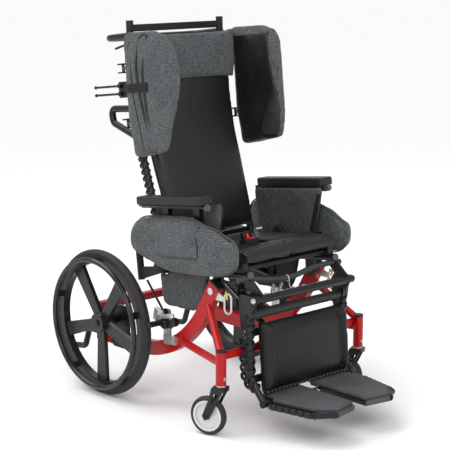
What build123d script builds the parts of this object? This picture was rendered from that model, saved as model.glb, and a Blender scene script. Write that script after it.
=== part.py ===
from build123d import *
import os
from math import cos, degrees, radians, sin, sqrt, tan

# Tilt in space wheelchair, millimetres and degrees.
# The model is laid out with y = 0 and z = 0 below the rear axles on the floor; -y is the front,
# +x is the occupant's left. At the end it is moved so that its origin is the middle of its base.

# Driving dimensions: rolling gear
REAR_WHEEL_RADIUS = 254.0
REAR_TYRE_WIDTH = 34.0
REAR_TYRE_HEIGHT = 27.0
REAR_WHEEL_X = 323.0
RIM_WIDTH = 28.0
RIM_DEPTH = 21.0
SPOKE_COUNT = 5
SPOKE_THICKNESS = 15.0
SPOKE_HUB_WIDTH = 34.0
SPOKE_RIM_WIDTH = 52.0
HUB_RADIUS = 33.0
HUB_WIDTH = 50.0
AXLE_RADIUS = 6.3
HANDRIM_INSET = 32.0
HANDRIM_TUBE_RADIUS = 9.0
HANDRIM_OFFSET = 40.0
HANDRIM_TAB_WIDTH = 24.0
HANDRIM_TAB_THICKNESS = 3.0
CASTOR_RADIUS = 63.5
CASTOR_WIDTH = 28.0
CASTOR_TYRE_HEIGHT = 13.0
CASTOR_WEB = 7.0
CASTOR_HUB_RADIUS = 15.0
CASTOR_AXLE_RADIUS = 4.0
CASTOR_TRAIL = 45.0
CASTOR_TURN = 18.7
CASTOR_LEG_GAP = 2.5
CASTOR_LEG_THICKNESS = 5.0
CROWN_HEIGHT = 13.0
STEM_RADIUS = 8.0
STEM_WASHER_HEIGHT = 6.0
ANTI_TIP_WHEEL_RADIUS = 25.0
ANTI_TIP_WHEEL_WIDTH = 18.0
ANTI_TIP_WHEEL_Y = 345.0
ANTI_TIP_WHEEL_Z = 84.0
ANTI_TIP_TUBE_RADIUS = 11.0

# Driving dimensions: base
MEMBER_X = 236.0
MEMBER_WIDTH = 28.0
MEMBER_DEPTH = 48.0
MEMBER_WALL = 3.0
MEMBER_LEVEL_Z = 178.0
MEMBER_REAR_Y = 130.0
MEMBER_BEND_Y = -109.0
MEMBER_BEND_RADIUS = 380.0
MEMBER_RISE = 60.0
MEMBER_STRAIGHT = 106.0
PIVOT_ALONG = 83.0
CASTOR_POST_X = 320.0
CASTOR_POST_AHEAD = 124.4
CASTOR_POST_LOW = 171.0
CASTOR_POST_HIGH = 278.0
CASTOR_POST_RADIUS = 17.0
RAKE_TUBE_RADIUS = 12.5
RAKE_TOP_ALONG = 22.0
BRACE_Z = 240.0
BRACE_RADIUS = 12.5
CROSS_BAR_RADIUS = 13.0
CROSS_BAR_BACKSET = 19.0
CROSS_BAR_Z = 256.0
REAR_BAR_Y = 112.0
REAR_BAR_Z = 278.0
REAR_POST_DEPTH = 26.0
AXLE_PLATE_THICKNESS = 8.0
AXLE_PLATE_WIDTH = 96.0
AXLE_PLATE_LOW = 152.0
AXLE_PLATE_HIGH = 306.0
AXLE_PLATE_Y = -14.0
PLATE_HOLE_RADIUS = 4.0
PLATE_HOLE_PITCH = 22.0
LOCK_PIVOT_Y = -262.0
LOCK_PIVOT_Z = 330.0
LOCK_PLATE_THICKNESS = 6.0
LOCK_HUB_RADIUS = 12.0
LOCK_HUB_WIDTH = 12.0
LOCK_PIN_RADIUS = 5.0
LOCK_SHOE_RADIUS = 10.0
LOCK_SHOE_GAP = 9.9
RING_WIRE_RADIUS = 3.5
RING_LENGTH = 66.0
RING_WIDTH = 32.0

# Driving dimensions: seat module, measured from the tilt pivot with the seat level
SEAT_TILT = 7.0
PIVOT_PIN_RADIUS = 8.0
RAIL_X = 196.0
RAIL_RADIUS = 12.5
RAIL_Z = 48.5
RAIL_FRONT = -129.0
RAIL_REAR = 318.0
CAP_LENGTH = 8.0
BED_HEIGHT = 25.0
BED_WIDTH = 24.0
CUSHION_HALF_WIDTH = 207.0
CUSHION_FRONT = -138.0
CUSHION_REAR = 244.0
CUSHION_THICKNESS = 40.0
CUSHION_CROWN = 8.0
PIVOT_LUG_THICKNESS = 8.0
PIVOT_LUG_RADIUS = 24.0
HINGE_Y = 274.0
HINGE_Z = 114.0
HINGE_ROD_RADIUS = 8.0
HINGE_PLATE_THICKNESS = 6.0
HINGE_PLATE_X = 220.0
REAR_UPRIGHT_Y = 420.0
REAR_UPRIGHT_LOW = 7.0
REAR_UPRIGHT_HIGH = 135.0
ARM_X = 246.0
ARM_POST_WIDTH = 14.0
ARM_POST_DEPTH = 28.0
ARM_POST_YS = (191.0, 35.0)
ARM_POST_LOW = 80.0
ARM_SOCKET_WALL = 3.0
ARM_SOCKET_LOW = 64.0
ARM_SOCKET_HIGH = 190.0
ARM_SLIP = 0.3
ARM_RAIL_Z = 277.0
ARM_RAIL_HEIGHT = 14.0
ARM_RAIL_FRONT = -44.0
ARM_RAIL_REAR = 274.0
KNOB_RADIUS = 10.5
KNOB_LENGTH = 10.0
PAD_X = 277.0
PAD_WIDTH = 60.0
PAD_HEIGHT = 26.0
PAD_FRONT = -48.0
PAD_REAR = 280.0
ARM_PANEL_INNER_X = 222.0
ARM_PANEL_THICKNESS = 13.0
SIDE_PANEL_X = 262.0
SIDE_PANEL_THICKNESS = 36.0
SKIRT_THICKNESS = 9.0
SKIRT_STEP_Y = 252.0
BELT_WIDTH = 46.0
BELT_THICKNESS = 2.0
BELT_Y = -42.0
BUCKLE_X = -102.0
BUTTON_TRAVEL = 3.0
CABLE_RADIUS = 6.0

# Driving dimensions: back module, measured from the recline hinge with the seat level
BACK_TUBE_X = 203.0
BACK_TUBE_RADIUS = 12.5
BACK_HUB_RADIUS = 17.0
BACK_LOWER_LEAN = 12.5
BACK_UPPER_LEAN = -5.0
BACK_LOWER_LENGTH = 484.0
BACK_UPPER_LENGTH = 306.0
BACK_BEND_RADIUS = 800.0
BACK_LEVER_LENGTH = 46.0
STRAP_SPACING = 30.0
STRAP_HEIGHT = 15.0
STRAP_RADIUS = 17.5
BACK_PAD_OFFSET = 18.3
BACK_PAD_THICKNESS = 38.0
BACK_PAD_HALF_TOP = 205.0
BACK_PAD_HALF_LOW = 190.0
BACK_PAD_START = 30.0
BACK_PAD_END = 742.0
BACK_PAD_CROWN = 8.0
PILLOW_START = 572.0
PILLOW_END = 754.0
PILLOW_THICKNESS = 30.0
PILLOW_HALF = 203.0
PILLOW_DIP = 7.0
PILLOW_GAP = 0.2
WING_X = 216.0
WING_THICKNESS = 56.0
WING_PIN_RADIUS = 5.0
WING_HINGE_X = 246.0
WING_HINGE_Y = 80.0
WING_HINGE_ZS = (435.0, 620.0)
WING_ARM_HEIGHT = 22.0
WING_EAR_THICKNESS = 5.0
HANDLE_TUBE_RADIUS = 12.0
HANDLE_REAR_Y = 222.0
HANDLE_LENGTH = 737.0
TOP_BAR_DROP = 26.0
TOP_BAR_DEPTH = 14.0
TOP_BAR_HEIGHT = 24.0
LOOP_HIGH = 492.0
LOOP_LOW = 391.0
LEVER_RADIUS = 4.0
LEVER_LENGTH = 134.0
LEVER_PIVOT_Y = 152.0
LEVER_PIVOT_ZS = {"recline": 562.0, "tilt": 535.0}
LEVER_PIN_RADIUS = 3.0
LEVER_HUB_RADIUS = 8.0
LEVER_HUB_WIDTH = 9.0
CLAMP_LOW = 519.0
CLAMP_HIGH = 582.0
CLAMP_PLATE_THICKNESS = 8.0

# Driving dimensions: legrest module, measured from its pivot, hanging straight down
LEG_PIVOT_Y = -175.0
LEG_PIVOT_Z = -25.0
LEG_ANGLE = 2.1
LEG_TUBE_RADIUS = 13.0
LEG_PIN_RADIUS = 7.0
LEG_EAR_THICKNESS = 8.0
LEG_SIDE_X = 214.0
LEG_SIDE_RADIUS = 11.0
LEG_STRAP_RADIUS = 15.0
LEG_STRAP_SPACING = 21.0
LEG_STRAP_HEIGHT = 14.0
CALF_HALF_WIDTH = 197.0
CALF_TOP = 76.0
CALF_BOTTOM = 294.0
CALF_THICKNESS = 42.0
CALF_FRONT = 5.0
CALF_BOLSTER = 12.0
FOOT_HINGE_DOWN = 334.0
FOOT_HINGE_FORWARD = 7.0
FOOT_ROD_RADIUS = 5.0
FOOT_KNUCKLE_RADIUS = 9.0
FOOT_PLATE_THICKNESS = 18.0
FOOT_PAD_THICKNESS = 12.0
FOOT_PAD_REAR = 44.0
FOOT_LENGTH = 232.0

# Driving dimensions: gas springs
GAS_TUBE_RADIUS = 11.0
GAS_ROD_RADIUS = 4.5
GAS_EYE_RADIUS = 9.0
GAS_PIN_RADIUS = 4.0
TILT_GAS_PLAY = 3.0
RECLINE_GAS_PLAY = 3.0
TILT_GAS_X = -60.0
TILT_GAS_SEAT_Y = 170.0
TILT_GAS_SEAT_Z = 12.0
RECLINE_GAS_X = 60.0
RECLINE_GAS_SEAT_Y = 30.0
RECLINE_GAS_SEAT_Z = 2.0

# Clearances
PIN_SLIP = 0.05
RUNNING_GAP = 0.5
SEAT_GAP = 0.3

# Worked out from the driving dimensions
RISE = radians(MEMBER_RISE)
BEND_CENTRE = (MEMBER_BEND_Y, MEMBER_LEVEL_Z + MEMBER_BEND_RADIUS)
BEND_END_Y = BEND_CENTRE[0] - MEMBER_BEND_RADIUS * sin(RISE)
BEND_END_Z = BEND_CENTRE[1] - MEMBER_BEND_RADIUS * cos(RISE)
PIVOT_Y = BEND_END_Y - PIVOT_ALONG * cos(RISE)
PIVOT_Z = BEND_END_Z + PIVOT_ALONG * sin(RISE)
HANDRIM_RADIUS = REAR_WHEEL_RADIUS - HANDRIM_INSET
CASTOR_POST_Y = PIVOT_Y - CASTOR_POST_AHEAD
MEMBER_OUT_X = MEMBER_X + MEMBER_WIDTH / 2
MEMBER_IN_X = MEMBER_X - MEMBER_WIDTH / 2
BED_TOP = RAIL_Z + RAIL_RADIUS + BED_HEIGHT
CUSHION_LOW = BED_TOP + SEAT_GAP
SKIRT_X = RAIL_X + RAIL_RADIUS + SEAT_GAP
CUSHION_HIGH = CUSHION_LOW + CUSHION_THICKNESS + CUSHION_CROWN
PAD_LOW = ARM_RAIL_Z + ARM_RAIL_HEIGHT / 2
BACK_TURN = radians(BACK_LOWER_LEAN - BACK_UPPER_LEAN)
BACK_TANGENT = BACK_BEND_RADIUS * tan(BACK_TURN / 2)
BACK_STRAIGHT = BACK_LOWER_LENGTH - BACK_TANGENT
BACK_ARC = BACK_BEND_RADIUS * BACK_TURN
BACK_LENGTH = BACK_STRAIGHT + BACK_ARC + BACK_UPPER_LENGTH - BACK_TANGENT
TOP_BAR_LENGTH = BACK_LENGTH - TOP_BAR_DROP
SIDES = {"left": 1, "right": -1}

SEAT_PLACE = Pos(0, PIVOT_Y, PIVOT_Z) * Rot(-SEAT_TILT, 0, 0)
BACK_PLACE = SEAT_PLACE * Pos(0, HINGE_Y, HINGE_Z)
LEG_PLACE = SEAT_PLACE * Pos(0, LEG_PIVOT_Y, LEG_PIVOT_Z) * Rot(LEG_ANGLE, 0, 0)
FOOT_PLACE = LEG_PLACE * Pos(0, -FOOT_HINGE_FORWARD, -FOOT_HINGE_DOWN) * Rot(SEAT_TILT - LEG_ANGLE, 0, 0)


# Shared shapes
def rod(start, end, radius):
    """A round bar between two points."""
    run = Vector(*end) - Vector(*start)
    bar = Cylinder(radius, run.length, align=(Align.CENTER, Align.CENTER, Align.MIN))
    return Plane(origin=start, z_dir=run) * bar


def pipe(start, end, radius, wall=2.0):
    """A straight tube between two points."""
    return rod(start, end, radius) - rod(start, end, radius - wall)


def cross_rod(x_start, x_end, y, z, radius):
    """A round bar along x."""
    return rod((x_start, y, z), (x_end, y, z), radius)


def block(x_range, y_range, z_range):
    """A box between two corners, given as ranges."""
    size = [abs(high - low) for low, high in (x_range, y_range, z_range)]
    middle = [(high + low) / 2 for low, high in (x_range, y_range, z_range)]
    return Pos(*middle) * Box(*size)


def profile(edges, x_start, x_end):
    """A closed outline in the y-z plane, given as edges, extruded along x."""
    face = make_face(edges)
    return extrude(Plane.YZ.offset(x_start) * face, x_end - x_start)


def polygon(points, x_start, x_end):
    """A straight-sided outline in the y-z plane, extruded along x."""
    return profile(Polyline(*points, close=True), x_start, x_end)


def bent_rod(points, bend, radius):
    """A round bar along a polyline with rounded corners."""
    path = FilletPolyline(*points, radius=bend)
    section = Plane(origin=path @ 0, z_dir=path % 0) * Circle(radius)
    return sweep(section, path)


def on_side(shape, side):
    """The shape as drawn for the left, or mirrored for the right."""
    return shape if side > 0 else mirror(shape, about=Plane.YZ)


def rounded(shape, radius, axis=Axis.X):
    """The shape with the edges along one axis rounded."""
    return fillet(shape.edges().filter_by(axis), radius)


# Rear wheels
def rear_tyre():
    """The tyre: a rounded tread over two flat side walls."""
    inner = REAR_WHEEL_RADIUS - REAR_TYRE_HEIGHT
    half = REAR_TYRE_WIDTH / 2
    shoulder = REAR_WHEEL_RADIUS - half * 0.7
    section = Polyline((half, shoulder), (RIM_WIDTH / 2, inner), (-RIM_WIDTH / 2, inner), (-half, shoulder))
    tread = ThreePointArc((-half, shoulder), (0, REAR_WHEEL_RADIUS), (half, shoulder))
    ring = revolve(Plane.XY * make_face(section + tread), Axis.X)
    return Pos(REAR_WHEEL_X, 0, REAR_WHEEL_RADIUS) * ring


def spoke():
    """One spoke pointing straight down, wider at the rim."""
    high = -HUB_RADIUS * 0.7
    low = -(REAR_WHEEL_RADIUS - REAR_TYRE_HEIGHT - RIM_DEPTH / 2)
    corners = [
        (-SPOKE_HUB_WIDTH / 2, high),
        (SPOKE_HUB_WIDTH / 2, high),
        (SPOKE_RIM_WIDTH / 2, low),
        (-SPOKE_RIM_WIDTH / 2, low),
    ]
    return polygon(corners, -SPOKE_THICKNESS / 2, SPOKE_THICKNESS / 2)


def rear_wheel():
    """The mag wheel: rim, five spokes and a bored hub."""
    rim_radius = REAR_WHEEL_RADIUS - REAR_TYRE_HEIGHT
    rim = cross_rod(-RIM_WIDTH / 2, RIM_WIDTH / 2, 0, 0, rim_radius)
    rim -= cross_rod(-RIM_WIDTH / 2, RIM_WIDTH / 2, 0, 0, rim_radius - RIM_DEPTH)
    wheel = rim + cross_rod(-HUB_WIDTH / 2, HUB_WIDTH / 2, 0, 0, HUB_RADIUS)
    for step in range(SPOKE_COUNT):
        wheel += Rot(step * 360 / SPOKE_COUNT, 0, 0) * spoke()
    wheel -= cross_rod(-HUB_WIDTH / 2, HUB_WIDTH / 2, 0, 0, AXLE_RADIUS + PIN_SLIP)
    return Pos(REAR_WHEEL_X, 0, REAR_WHEEL_RADIUS) * wheel


def handrim():
    """The push ring with one tab to the rim at each spoke."""
    ring = Rot(0, 90, 0) * Torus(HANDRIM_RADIUS, HANDRIM_TUBE_RADIUS)
    ring = Pos(HANDRIM_OFFSET, 0, 0) * ring
    rim_inner = REAR_WHEEL_RADIUS - REAR_TYRE_HEIGHT - RIM_DEPTH
    low = -HANDRIM_RADIUS
    for step in range(SPOKE_COUNT):
        foot = block(
            (RIM_WIDTH / 2, RIM_WIDTH / 2 + HANDRIM_TAB_THICKNESS),
            (-HANDRIM_TAB_WIDTH / 2, HANDRIM_TAB_WIDTH / 2),
            (low + HANDRIM_TUBE_RADIUS * 0.4, -rim_inner + RIM_DEPTH * 0.2),
        )
        arm = block(
            (RIM_WIDTH / 2, HANDRIM_OFFSET),
            (-HANDRIM_TAB_WIDTH / 2, HANDRIM_TAB_WIDTH / 2),
            (low + HANDRIM_TUBE_RADIUS * 0.4, low + HANDRIM_TUBE_RADIUS * 0.4 + HANDRIM_TAB_THICKNESS),
        )
        ring += Rot((step + 0.5) * 360 / SPOKE_COUNT, 0, 0) * (foot + arm)
    return Pos(REAR_WHEEL_X, 0, REAR_WHEEL_RADIUS) * ring


def rear_axle():
    """The axle bolt from the axle plate through the hub, with a spacer tube inside."""
    start = MEMBER_OUT_X
    spacer_start = start + AXLE_PLATE_THICKNESS
    spacer_end = REAR_WHEEL_X - HUB_WIDTH / 2 - RUNNING_GAP
    head_start = REAR_WHEEL_X + HUB_WIDTH / 2 + RUNNING_GAP
    axle = cross_rod(start, head_start + 5, 0, REAR_WHEEL_RADIUS, AXLE_RADIUS)
    axle += cross_rod(spacer_start, spacer_end, 0, REAR_WHEEL_RADIUS, AXLE_RADIUS * 2)
    axle += cross_rod(start - 6, start, 0, REAR_WHEEL_RADIUS, AXLE_RADIUS * 1.5)
    return axle + cross_rod(head_start, head_start + 5, 0, REAR_WHEEL_RADIUS, AXLE_RADIUS * 1.7)


# Castors, drawn trailing straight behind the stem
def castor_place(shape, side):
    """Moves a castor piece from the stem's foot on the floor to its side, turned as it rolls."""
    return Pos(side * CASTOR_POST_X, CASTOR_POST_Y, 0) * Rot(0, 0, CASTOR_TURN) * shape


def castor_tyre():
    """The castor's tyre."""
    inner = CASTOR_RADIUS - CASTOR_TYRE_HEIGHT
    half = CASTOR_WIDTH / 2
    shoulder = CASTOR_RADIUS - half * 0.6
    section = Polyline((half, shoulder), (half * 0.8, inner), (-half * 0.8, inner), (-half, shoulder))
    tread = ThreePointArc((-half, shoulder), (0, CASTOR_RADIUS), (half, shoulder))
    ring = revolve(Plane.XY * make_face(section + tread), Axis.X)
    return Pos(0, CASTOR_TRAIL, CASTOR_RADIUS) * ring


def castor_wheel():
    """The castor's rim, web and hub."""
    outer = CASTOR_RADIUS - CASTOR_TYRE_HEIGHT
    half = CASTOR_WIDTH * 0.4
    wheel = cross_rod(-half, half, 0, 0, outer) - cross_rod(-half, half, 0, 0, outer - 7)
    wheel += cross_rod(-CASTOR_WEB / 2, CASTOR_WEB / 2, 0, 0, outer - 3)
    wheel += cross_rod(-CASTOR_WIDTH / 2, CASTOR_WIDTH / 2, 0, 0, CASTOR_HUB_RADIUS)
    wheel -= cross_rod(-CASTOR_WIDTH, CASTOR_WIDTH, 0, 0, CASTOR_AXLE_RADIUS + PIN_SLIP)
    return Pos(0, CASTOR_TRAIL, CASTOR_RADIUS) * wheel


def castor_fork():
    """The fork: stem, washer, crown and two pierced legs, with the axle bolt through them."""
    crown_high = CASTOR_POST_LOW - STEM_WASHER_HEIGHT
    crown_low = crown_high - CROWN_HEIGHT
    inner = CASTOR_WIDTH / 2 + CASTOR_LEG_GAP
    outer = inner + CASTOR_LEG_THICKNESS
    crown = block((-outer, outer), (-22, 24), (crown_low, crown_high))
    crown = rounded(crown, 10, Axis.Z)
    fork = crown + rod((0, 0, crown_low), (0, 0, CASTOR_POST_HIGH - 6), STEM_RADIUS)
    fork += rod((0, 0, crown_high), (0, 0, CASTOR_POST_LOW - SEAT_GAP), STEM_RADIUS * 1.6)
    corners = [
        (-20, crown_high - 3),
        (24, crown_high - 3),
        (34, 122),
        (CASTOR_TRAIL + 13, CASTOR_RADIUS + 2),
        (CASTOR_TRAIL + 5, CASTOR_RADIUS - 13),
        (CASTOR_TRAIL - 12, CASTOR_RADIUS - 6),
    ]
    leg = polygon(corners, inner, outer)
    leg -= polygon([(-1, crown_low - 8), (16, crown_low - 8), (24, 116), (20, 104)], inner, outer)
    fork += leg + mirror(leg, about=Plane.YZ)
    return fork + cross_rod(-outer - 4, outer + 4, CASTOR_TRAIL, CASTOR_RADIUS, CASTOR_AXLE_RADIUS)


# Base
def member_outline(depth, end_inset):
    """The curved member's outline: level, one large bend and a straight rise to the tilt pivot."""
    small = MEMBER_BEND_RADIUS - depth / 2
    large = MEMBER_BEND_RADIUS + depth / 2
    rise_y, rise_z = -cos(RISE), sin(RISE)
    straight = MEMBER_STRAIGHT - end_inset
    rear = MEMBER_REAR_Y - end_inset

    def on_bend(radius, turn):
        return (BEND_CENTRE[0] - radius * sin(turn), BEND_CENTRE[1] - radius * cos(turn))

    def above(point):
        return (point[0] + rise_y * straight, point[1] + rise_z * straight)

    top_start, top_mid, top_end = (on_bend(small, RISE * share) for share in (0, 0.5, 1))
    low_start, low_mid, low_end = (on_bend(large, RISE * share) for share in (0, 0.5, 1))
    return [
        Line((rear, top_start[1]), top_start),
        ThreePointArc(top_start, top_mid, top_end),
        Line(top_end, above(top_end)),
        Line(above(top_end), above(low_end)),
        Line(above(low_end), low_end),
        ThreePointArc(low_end, low_mid, low_start),
        Line(low_start, (rear, low_start[1])),
        Line((rear, low_start[1]), (rear, top_start[1])),
    ]


def curved_member():
    """The flat curved tube, hollow but closed at its ends, bored for the tilt pivot pin."""
    member = profile(member_outline(MEMBER_DEPTH, 0), MEMBER_IN_X, MEMBER_OUT_X)
    hollow = profile(
        member_outline(MEMBER_DEPTH - 2 * MEMBER_WALL, PIVOT_LUG_RADIUS * 2),
        MEMBER_IN_X + MEMBER_WALL,
        MEMBER_OUT_X - MEMBER_WALL,
    )
    bore = cross_rod(MEMBER_IN_X, MEMBER_OUT_X, PIVOT_Y, PIVOT_Z, PIVOT_PIN_RADIUS)
    return member - hollow - bore


def pivot_pin():
    """The tilt pivot pin, fixed in the member and reaching through the seat's lug."""
    start = RAIL_X + RAIL_RADIUS + 1
    pin = cross_rod(start, MEMBER_OUT_X + 4, PIVOT_Y, PIVOT_Z, PIVOT_PIN_RADIUS)
    return pin + cross_rod(MEMBER_OUT_X, MEMBER_OUT_X + 4, PIVOT_Y, PIVOT_Z, PIVOT_PIN_RADIUS * 1.5)


def member_point(turn_share, outward):
    """A point on the member's bend, a distance outside its centre line."""
    radius = MEMBER_BEND_RADIUS + outward
    turn = RISE * turn_share
    return (BEND_CENTRE[0] - radius * sin(turn), BEND_CENTRE[1] - radius * cos(turn))


def castor_post():
    """The castor post with its raked tube and lower brace, welded to the member's outer face."""
    low = (CASTOR_POST_X, CASTOR_POST_Y, CASTOR_POST_LOW)
    high = (CASTOR_POST_X, CASTOR_POST_Y, CASTOR_POST_HIGH)
    rake_y = BEND_END_Y - RAKE_TOP_ALONG * cos(RISE) - MEMBER_DEPTH * 0.3
    rake_z = BEND_END_Z + RAKE_TOP_ALONG * sin(RISE)
    rake_top = (MEMBER_OUT_X - 4, rake_y, rake_z)
    rake_low = (CASTOR_POST_X, CASTOR_POST_Y, CASTOR_POST_HIGH - RAKE_TUBE_RADIUS)
    brace_y = member_point(0.62, 0)[0]
    brace_end = (MEMBER_OUT_X - 4, brace_y, BRACE_Z)
    post = rod(low, high, CASTOR_POST_RADIUS)
    post += rod(rake_low, rake_top, RAKE_TUBE_RADIUS)
    post += rod((CASTOR_POST_X, CASTOR_POST_Y, BRACE_Z), brace_end, BRACE_RADIUS)
    post -= rod(low, high, STEM_RADIUS + PIN_SLIP)
    reach = MEMBER_OUT_X - 2 * RAKE_TUBE_RADIUS
    return post - block((reach, MEMBER_OUT_X), (BEND_END_Y * 1.5, 0), (0, PIVOT_Z * 1.5))


def front_cross_bar():
    """The tube between the two castor posts."""
    reach = CASTOR_POST_X - CASTOR_POST_RADIUS / 2
    y = CASTOR_POST_Y + CROSS_BAR_BACKSET
    bar = pipe((-reach, y, CROSS_BAR_Z), (reach, y, CROSS_BAR_Z), CROSS_BAR_RADIUS)
    lug_x = TILT_GAS_X
    lug = block(
        (lug_x + GAS_EYE_RADIUS, lug_x + GAS_EYE_RADIUS + 4),
        (y - 2, y + 30),
        (CROSS_BAR_Z + CROSS_BAR_RADIUS - 5, CROSS_BAR_Z + CROSS_BAR_RADIUS + 22),
    )
    bar += lug + Pos(-2 * GAS_EYE_RADIUS - 4, 0, 0) * lug
    post = castor_post()
    core = rod(
        (CASTOR_POST_X, CASTOR_POST_Y, CASTOR_POST_LOW),
        (CASTOR_POST_X, CASTOR_POST_Y, CASTOR_POST_HIGH),
        CASTOR_POST_RADIUS,
    )
    for side in SIDES.values():
        bar = bar - on_side(post, side) - on_side(core, side)
    gas_y, gas_z = tilt_gas_base()
    reach = GAS_EYE_RADIUS + 4
    return bar + cross_rod(lug_x - reach, lug_x + reach, gas_y, gas_z, GAS_PIN_RADIUS)


def rear_cross_bar():
    """The rear bar on two short uprights that stand on the members."""
    post_low = MEMBER_LEVEL_Z + MEMBER_DEPTH / 2
    bar = block(
        (-MEMBER_OUT_X, MEMBER_OUT_X),
        (REAR_BAR_Y - REAR_POST_DEPTH / 2, REAR_BAR_Y + REAR_POST_DEPTH / 2),
        (REAR_BAR_Z - 13, REAR_BAR_Z + 13),
    )
    for side in SIDES.values():
        bar += block(
            (side * MEMBER_IN_X, side * MEMBER_OUT_X),
            (REAR_BAR_Y - REAR_POST_DEPTH / 2, REAR_BAR_Y + REAR_POST_DEPTH / 2),
            (post_low, REAR_BAR_Z),
        )
    return bar


def axle_plate():
    """The black plate that carries the rear axle, with a row of holes along each long edge."""
    plate = block(
        (MEMBER_OUT_X, MEMBER_OUT_X + AXLE_PLATE_THICKNESS),
        (AXLE_PLATE_Y - AXLE_PLATE_WIDTH / 2, AXLE_PLATE_Y + AXLE_PLATE_WIDTH / 2),
        (AXLE_PLATE_LOW, AXLE_PLATE_HIGH),
    )
    plate = rounded(plate, 18)
    reach = MEMBER_OUT_X + AXLE_PLATE_THICKNESS
    for column in (-1, 1):
        y = AXLE_PLATE_Y + column * (AXLE_PLATE_WIDTH / 2 - 12)
        for step in range(6):
            z = AXLE_PLATE_LOW + 22 + step * PLATE_HOLE_PITCH
            plate -= cross_rod(MEMBER_OUT_X, reach, y, z, PLATE_HOLE_RADIUS)
    return plate - cross_rod(MEMBER_OUT_X, reach, 0, REAR_WHEEL_RADIUS, AXLE_RADIUS)


def lock_shoe_centre():
    """Where the wheel lock's shoe rests, just in front of the tyre."""
    reach = REAR_WHEEL_RADIUS + LOCK_SHOE_GAP + LOCK_SHOE_RADIUS
    drop = LOCK_PIVOT_Z - 30 - REAR_WHEEL_RADIUS
    return (-sqrt(reach**2 - drop**2), LOCK_PIVOT_Z - 30)


def lock_bracket():
    """The wheel lock's clamp plate on the member, its pivot pin and a clamp block."""
    low = member_point(0.45, -MEMBER_DEPTH / 2 + 4)[1] - 20
    plate = block(
        (MEMBER_OUT_X, MEMBER_OUT_X + LOCK_PLATE_THICKNESS),
        (LOCK_PIVOT_Y - 20, LOCK_PIVOT_Y + 14),
        (low, LOCK_PIVOT_Z + 10),
    )
    plate = rounded(plate, 8)
    foot = block(
        (MEMBER_OUT_X, MEMBER_OUT_X + LOCK_PLATE_THICKNESS + 8),
        (LOCK_PIVOT_Y - 52, LOCK_PIVOT_Y + 6),
        (low + 8, low + 34),
    )
    pin_end = MEMBER_OUT_X + LOCK_PLATE_THICKNESS + LOCK_HUB_WIDTH + RUNNING_GAP + 3
    pin = cross_rod(MEMBER_OUT_X, pin_end, LOCK_PIVOT_Y, LOCK_PIVOT_Z, LOCK_PIN_RADIUS)
    return plate + foot + pin


def lock_lever():
    """The wheel lock's lever: hub, long handle rod, shoe arm and shoe."""
    start = MEMBER_OUT_X + LOCK_PLATE_THICKNESS + RUNNING_GAP
    end = start + LOCK_HUB_WIDTH
    shoe_y, shoe_z = lock_shoe_centre()
    lever = cross_rod(start, end, LOCK_PIVOT_Y, LOCK_PIVOT_Z, LOCK_HUB_RADIUS)
    lever += polygon(
        [
            (LOCK_PIVOT_Y - 11, LOCK_PIVOT_Z),
            (LOCK_PIVOT_Y + 10, LOCK_PIVOT_Z),
            (shoe_y + 9, shoe_z - 5),
            (shoe_y - 9, shoe_z - 5),
        ],
        start,
        end,
    )
    shoe_end = REAR_WHEEL_X + REAR_TYRE_WIDTH / 2 - 2
    lever += cross_rod(start, shoe_end, shoe_y, shoe_z, LOCK_SHOE_RADIUS)
    lever -= cross_rod(start, end, LOCK_PIVOT_Y, LOCK_PIVOT_Z, LOCK_PIN_RADIUS + PIN_SLIP)
    grip_start = (start + 6, LOCK_PIVOT_Y + 9, LOCK_PIVOT_Z + 6)
    grip_end = (MEMBER_OUT_X, LOCK_PIVOT_Y + 104, LOCK_PIVOT_Z + 88)
    return lever + rod(grip_start, grip_end, 4)


def tie_down_ring():
    """The oval tie-down ring on a lug at the member's front edge."""
    y = PIVOT_Y - 72
    z = PIVOT_Z - 30
    half = (RING_LENGTH - RING_WIDTH) / 2
    x = MEMBER_OUT_X - 8
    front = y - RING_WIDTH / 2
    rear = y + RING_WIDTH / 2
    ring = rod((x, front, z - half), (x, front, z + half), RING_WIRE_RADIUS)
    ring += rod((x, rear, z - half), (x, rear, z + half), RING_WIRE_RADIUS)
    for end in (-1, 1):
        bow = Rot(0, 90, 0) * Torus(RING_WIDTH / 2, RING_WIRE_RADIUS)
        bow -= block((-10, 10), (-RING_WIDTH, RING_WIDTH), sorted((0, -end * RING_WIDTH)))
        ring += Pos(x, y, z + end * half) * bow
    lug = polygon(
        [
            (y + RING_WIDTH / 2 - 2, z + 4),
            (y + RING_WIDTH / 2 - 2, z + 18),
            (PIVOT_Y + 6, z + 44),
            (PIVOT_Y + 6, z + 4),
        ],
        x - 3,
        x + 3,
    )
    keep_off = profile(member_outline(MEMBER_DEPTH, 0), MEMBER_IN_X - 1, MEMBER_OUT_X + 1)
    return ring + (lug - keep_off)


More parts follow.
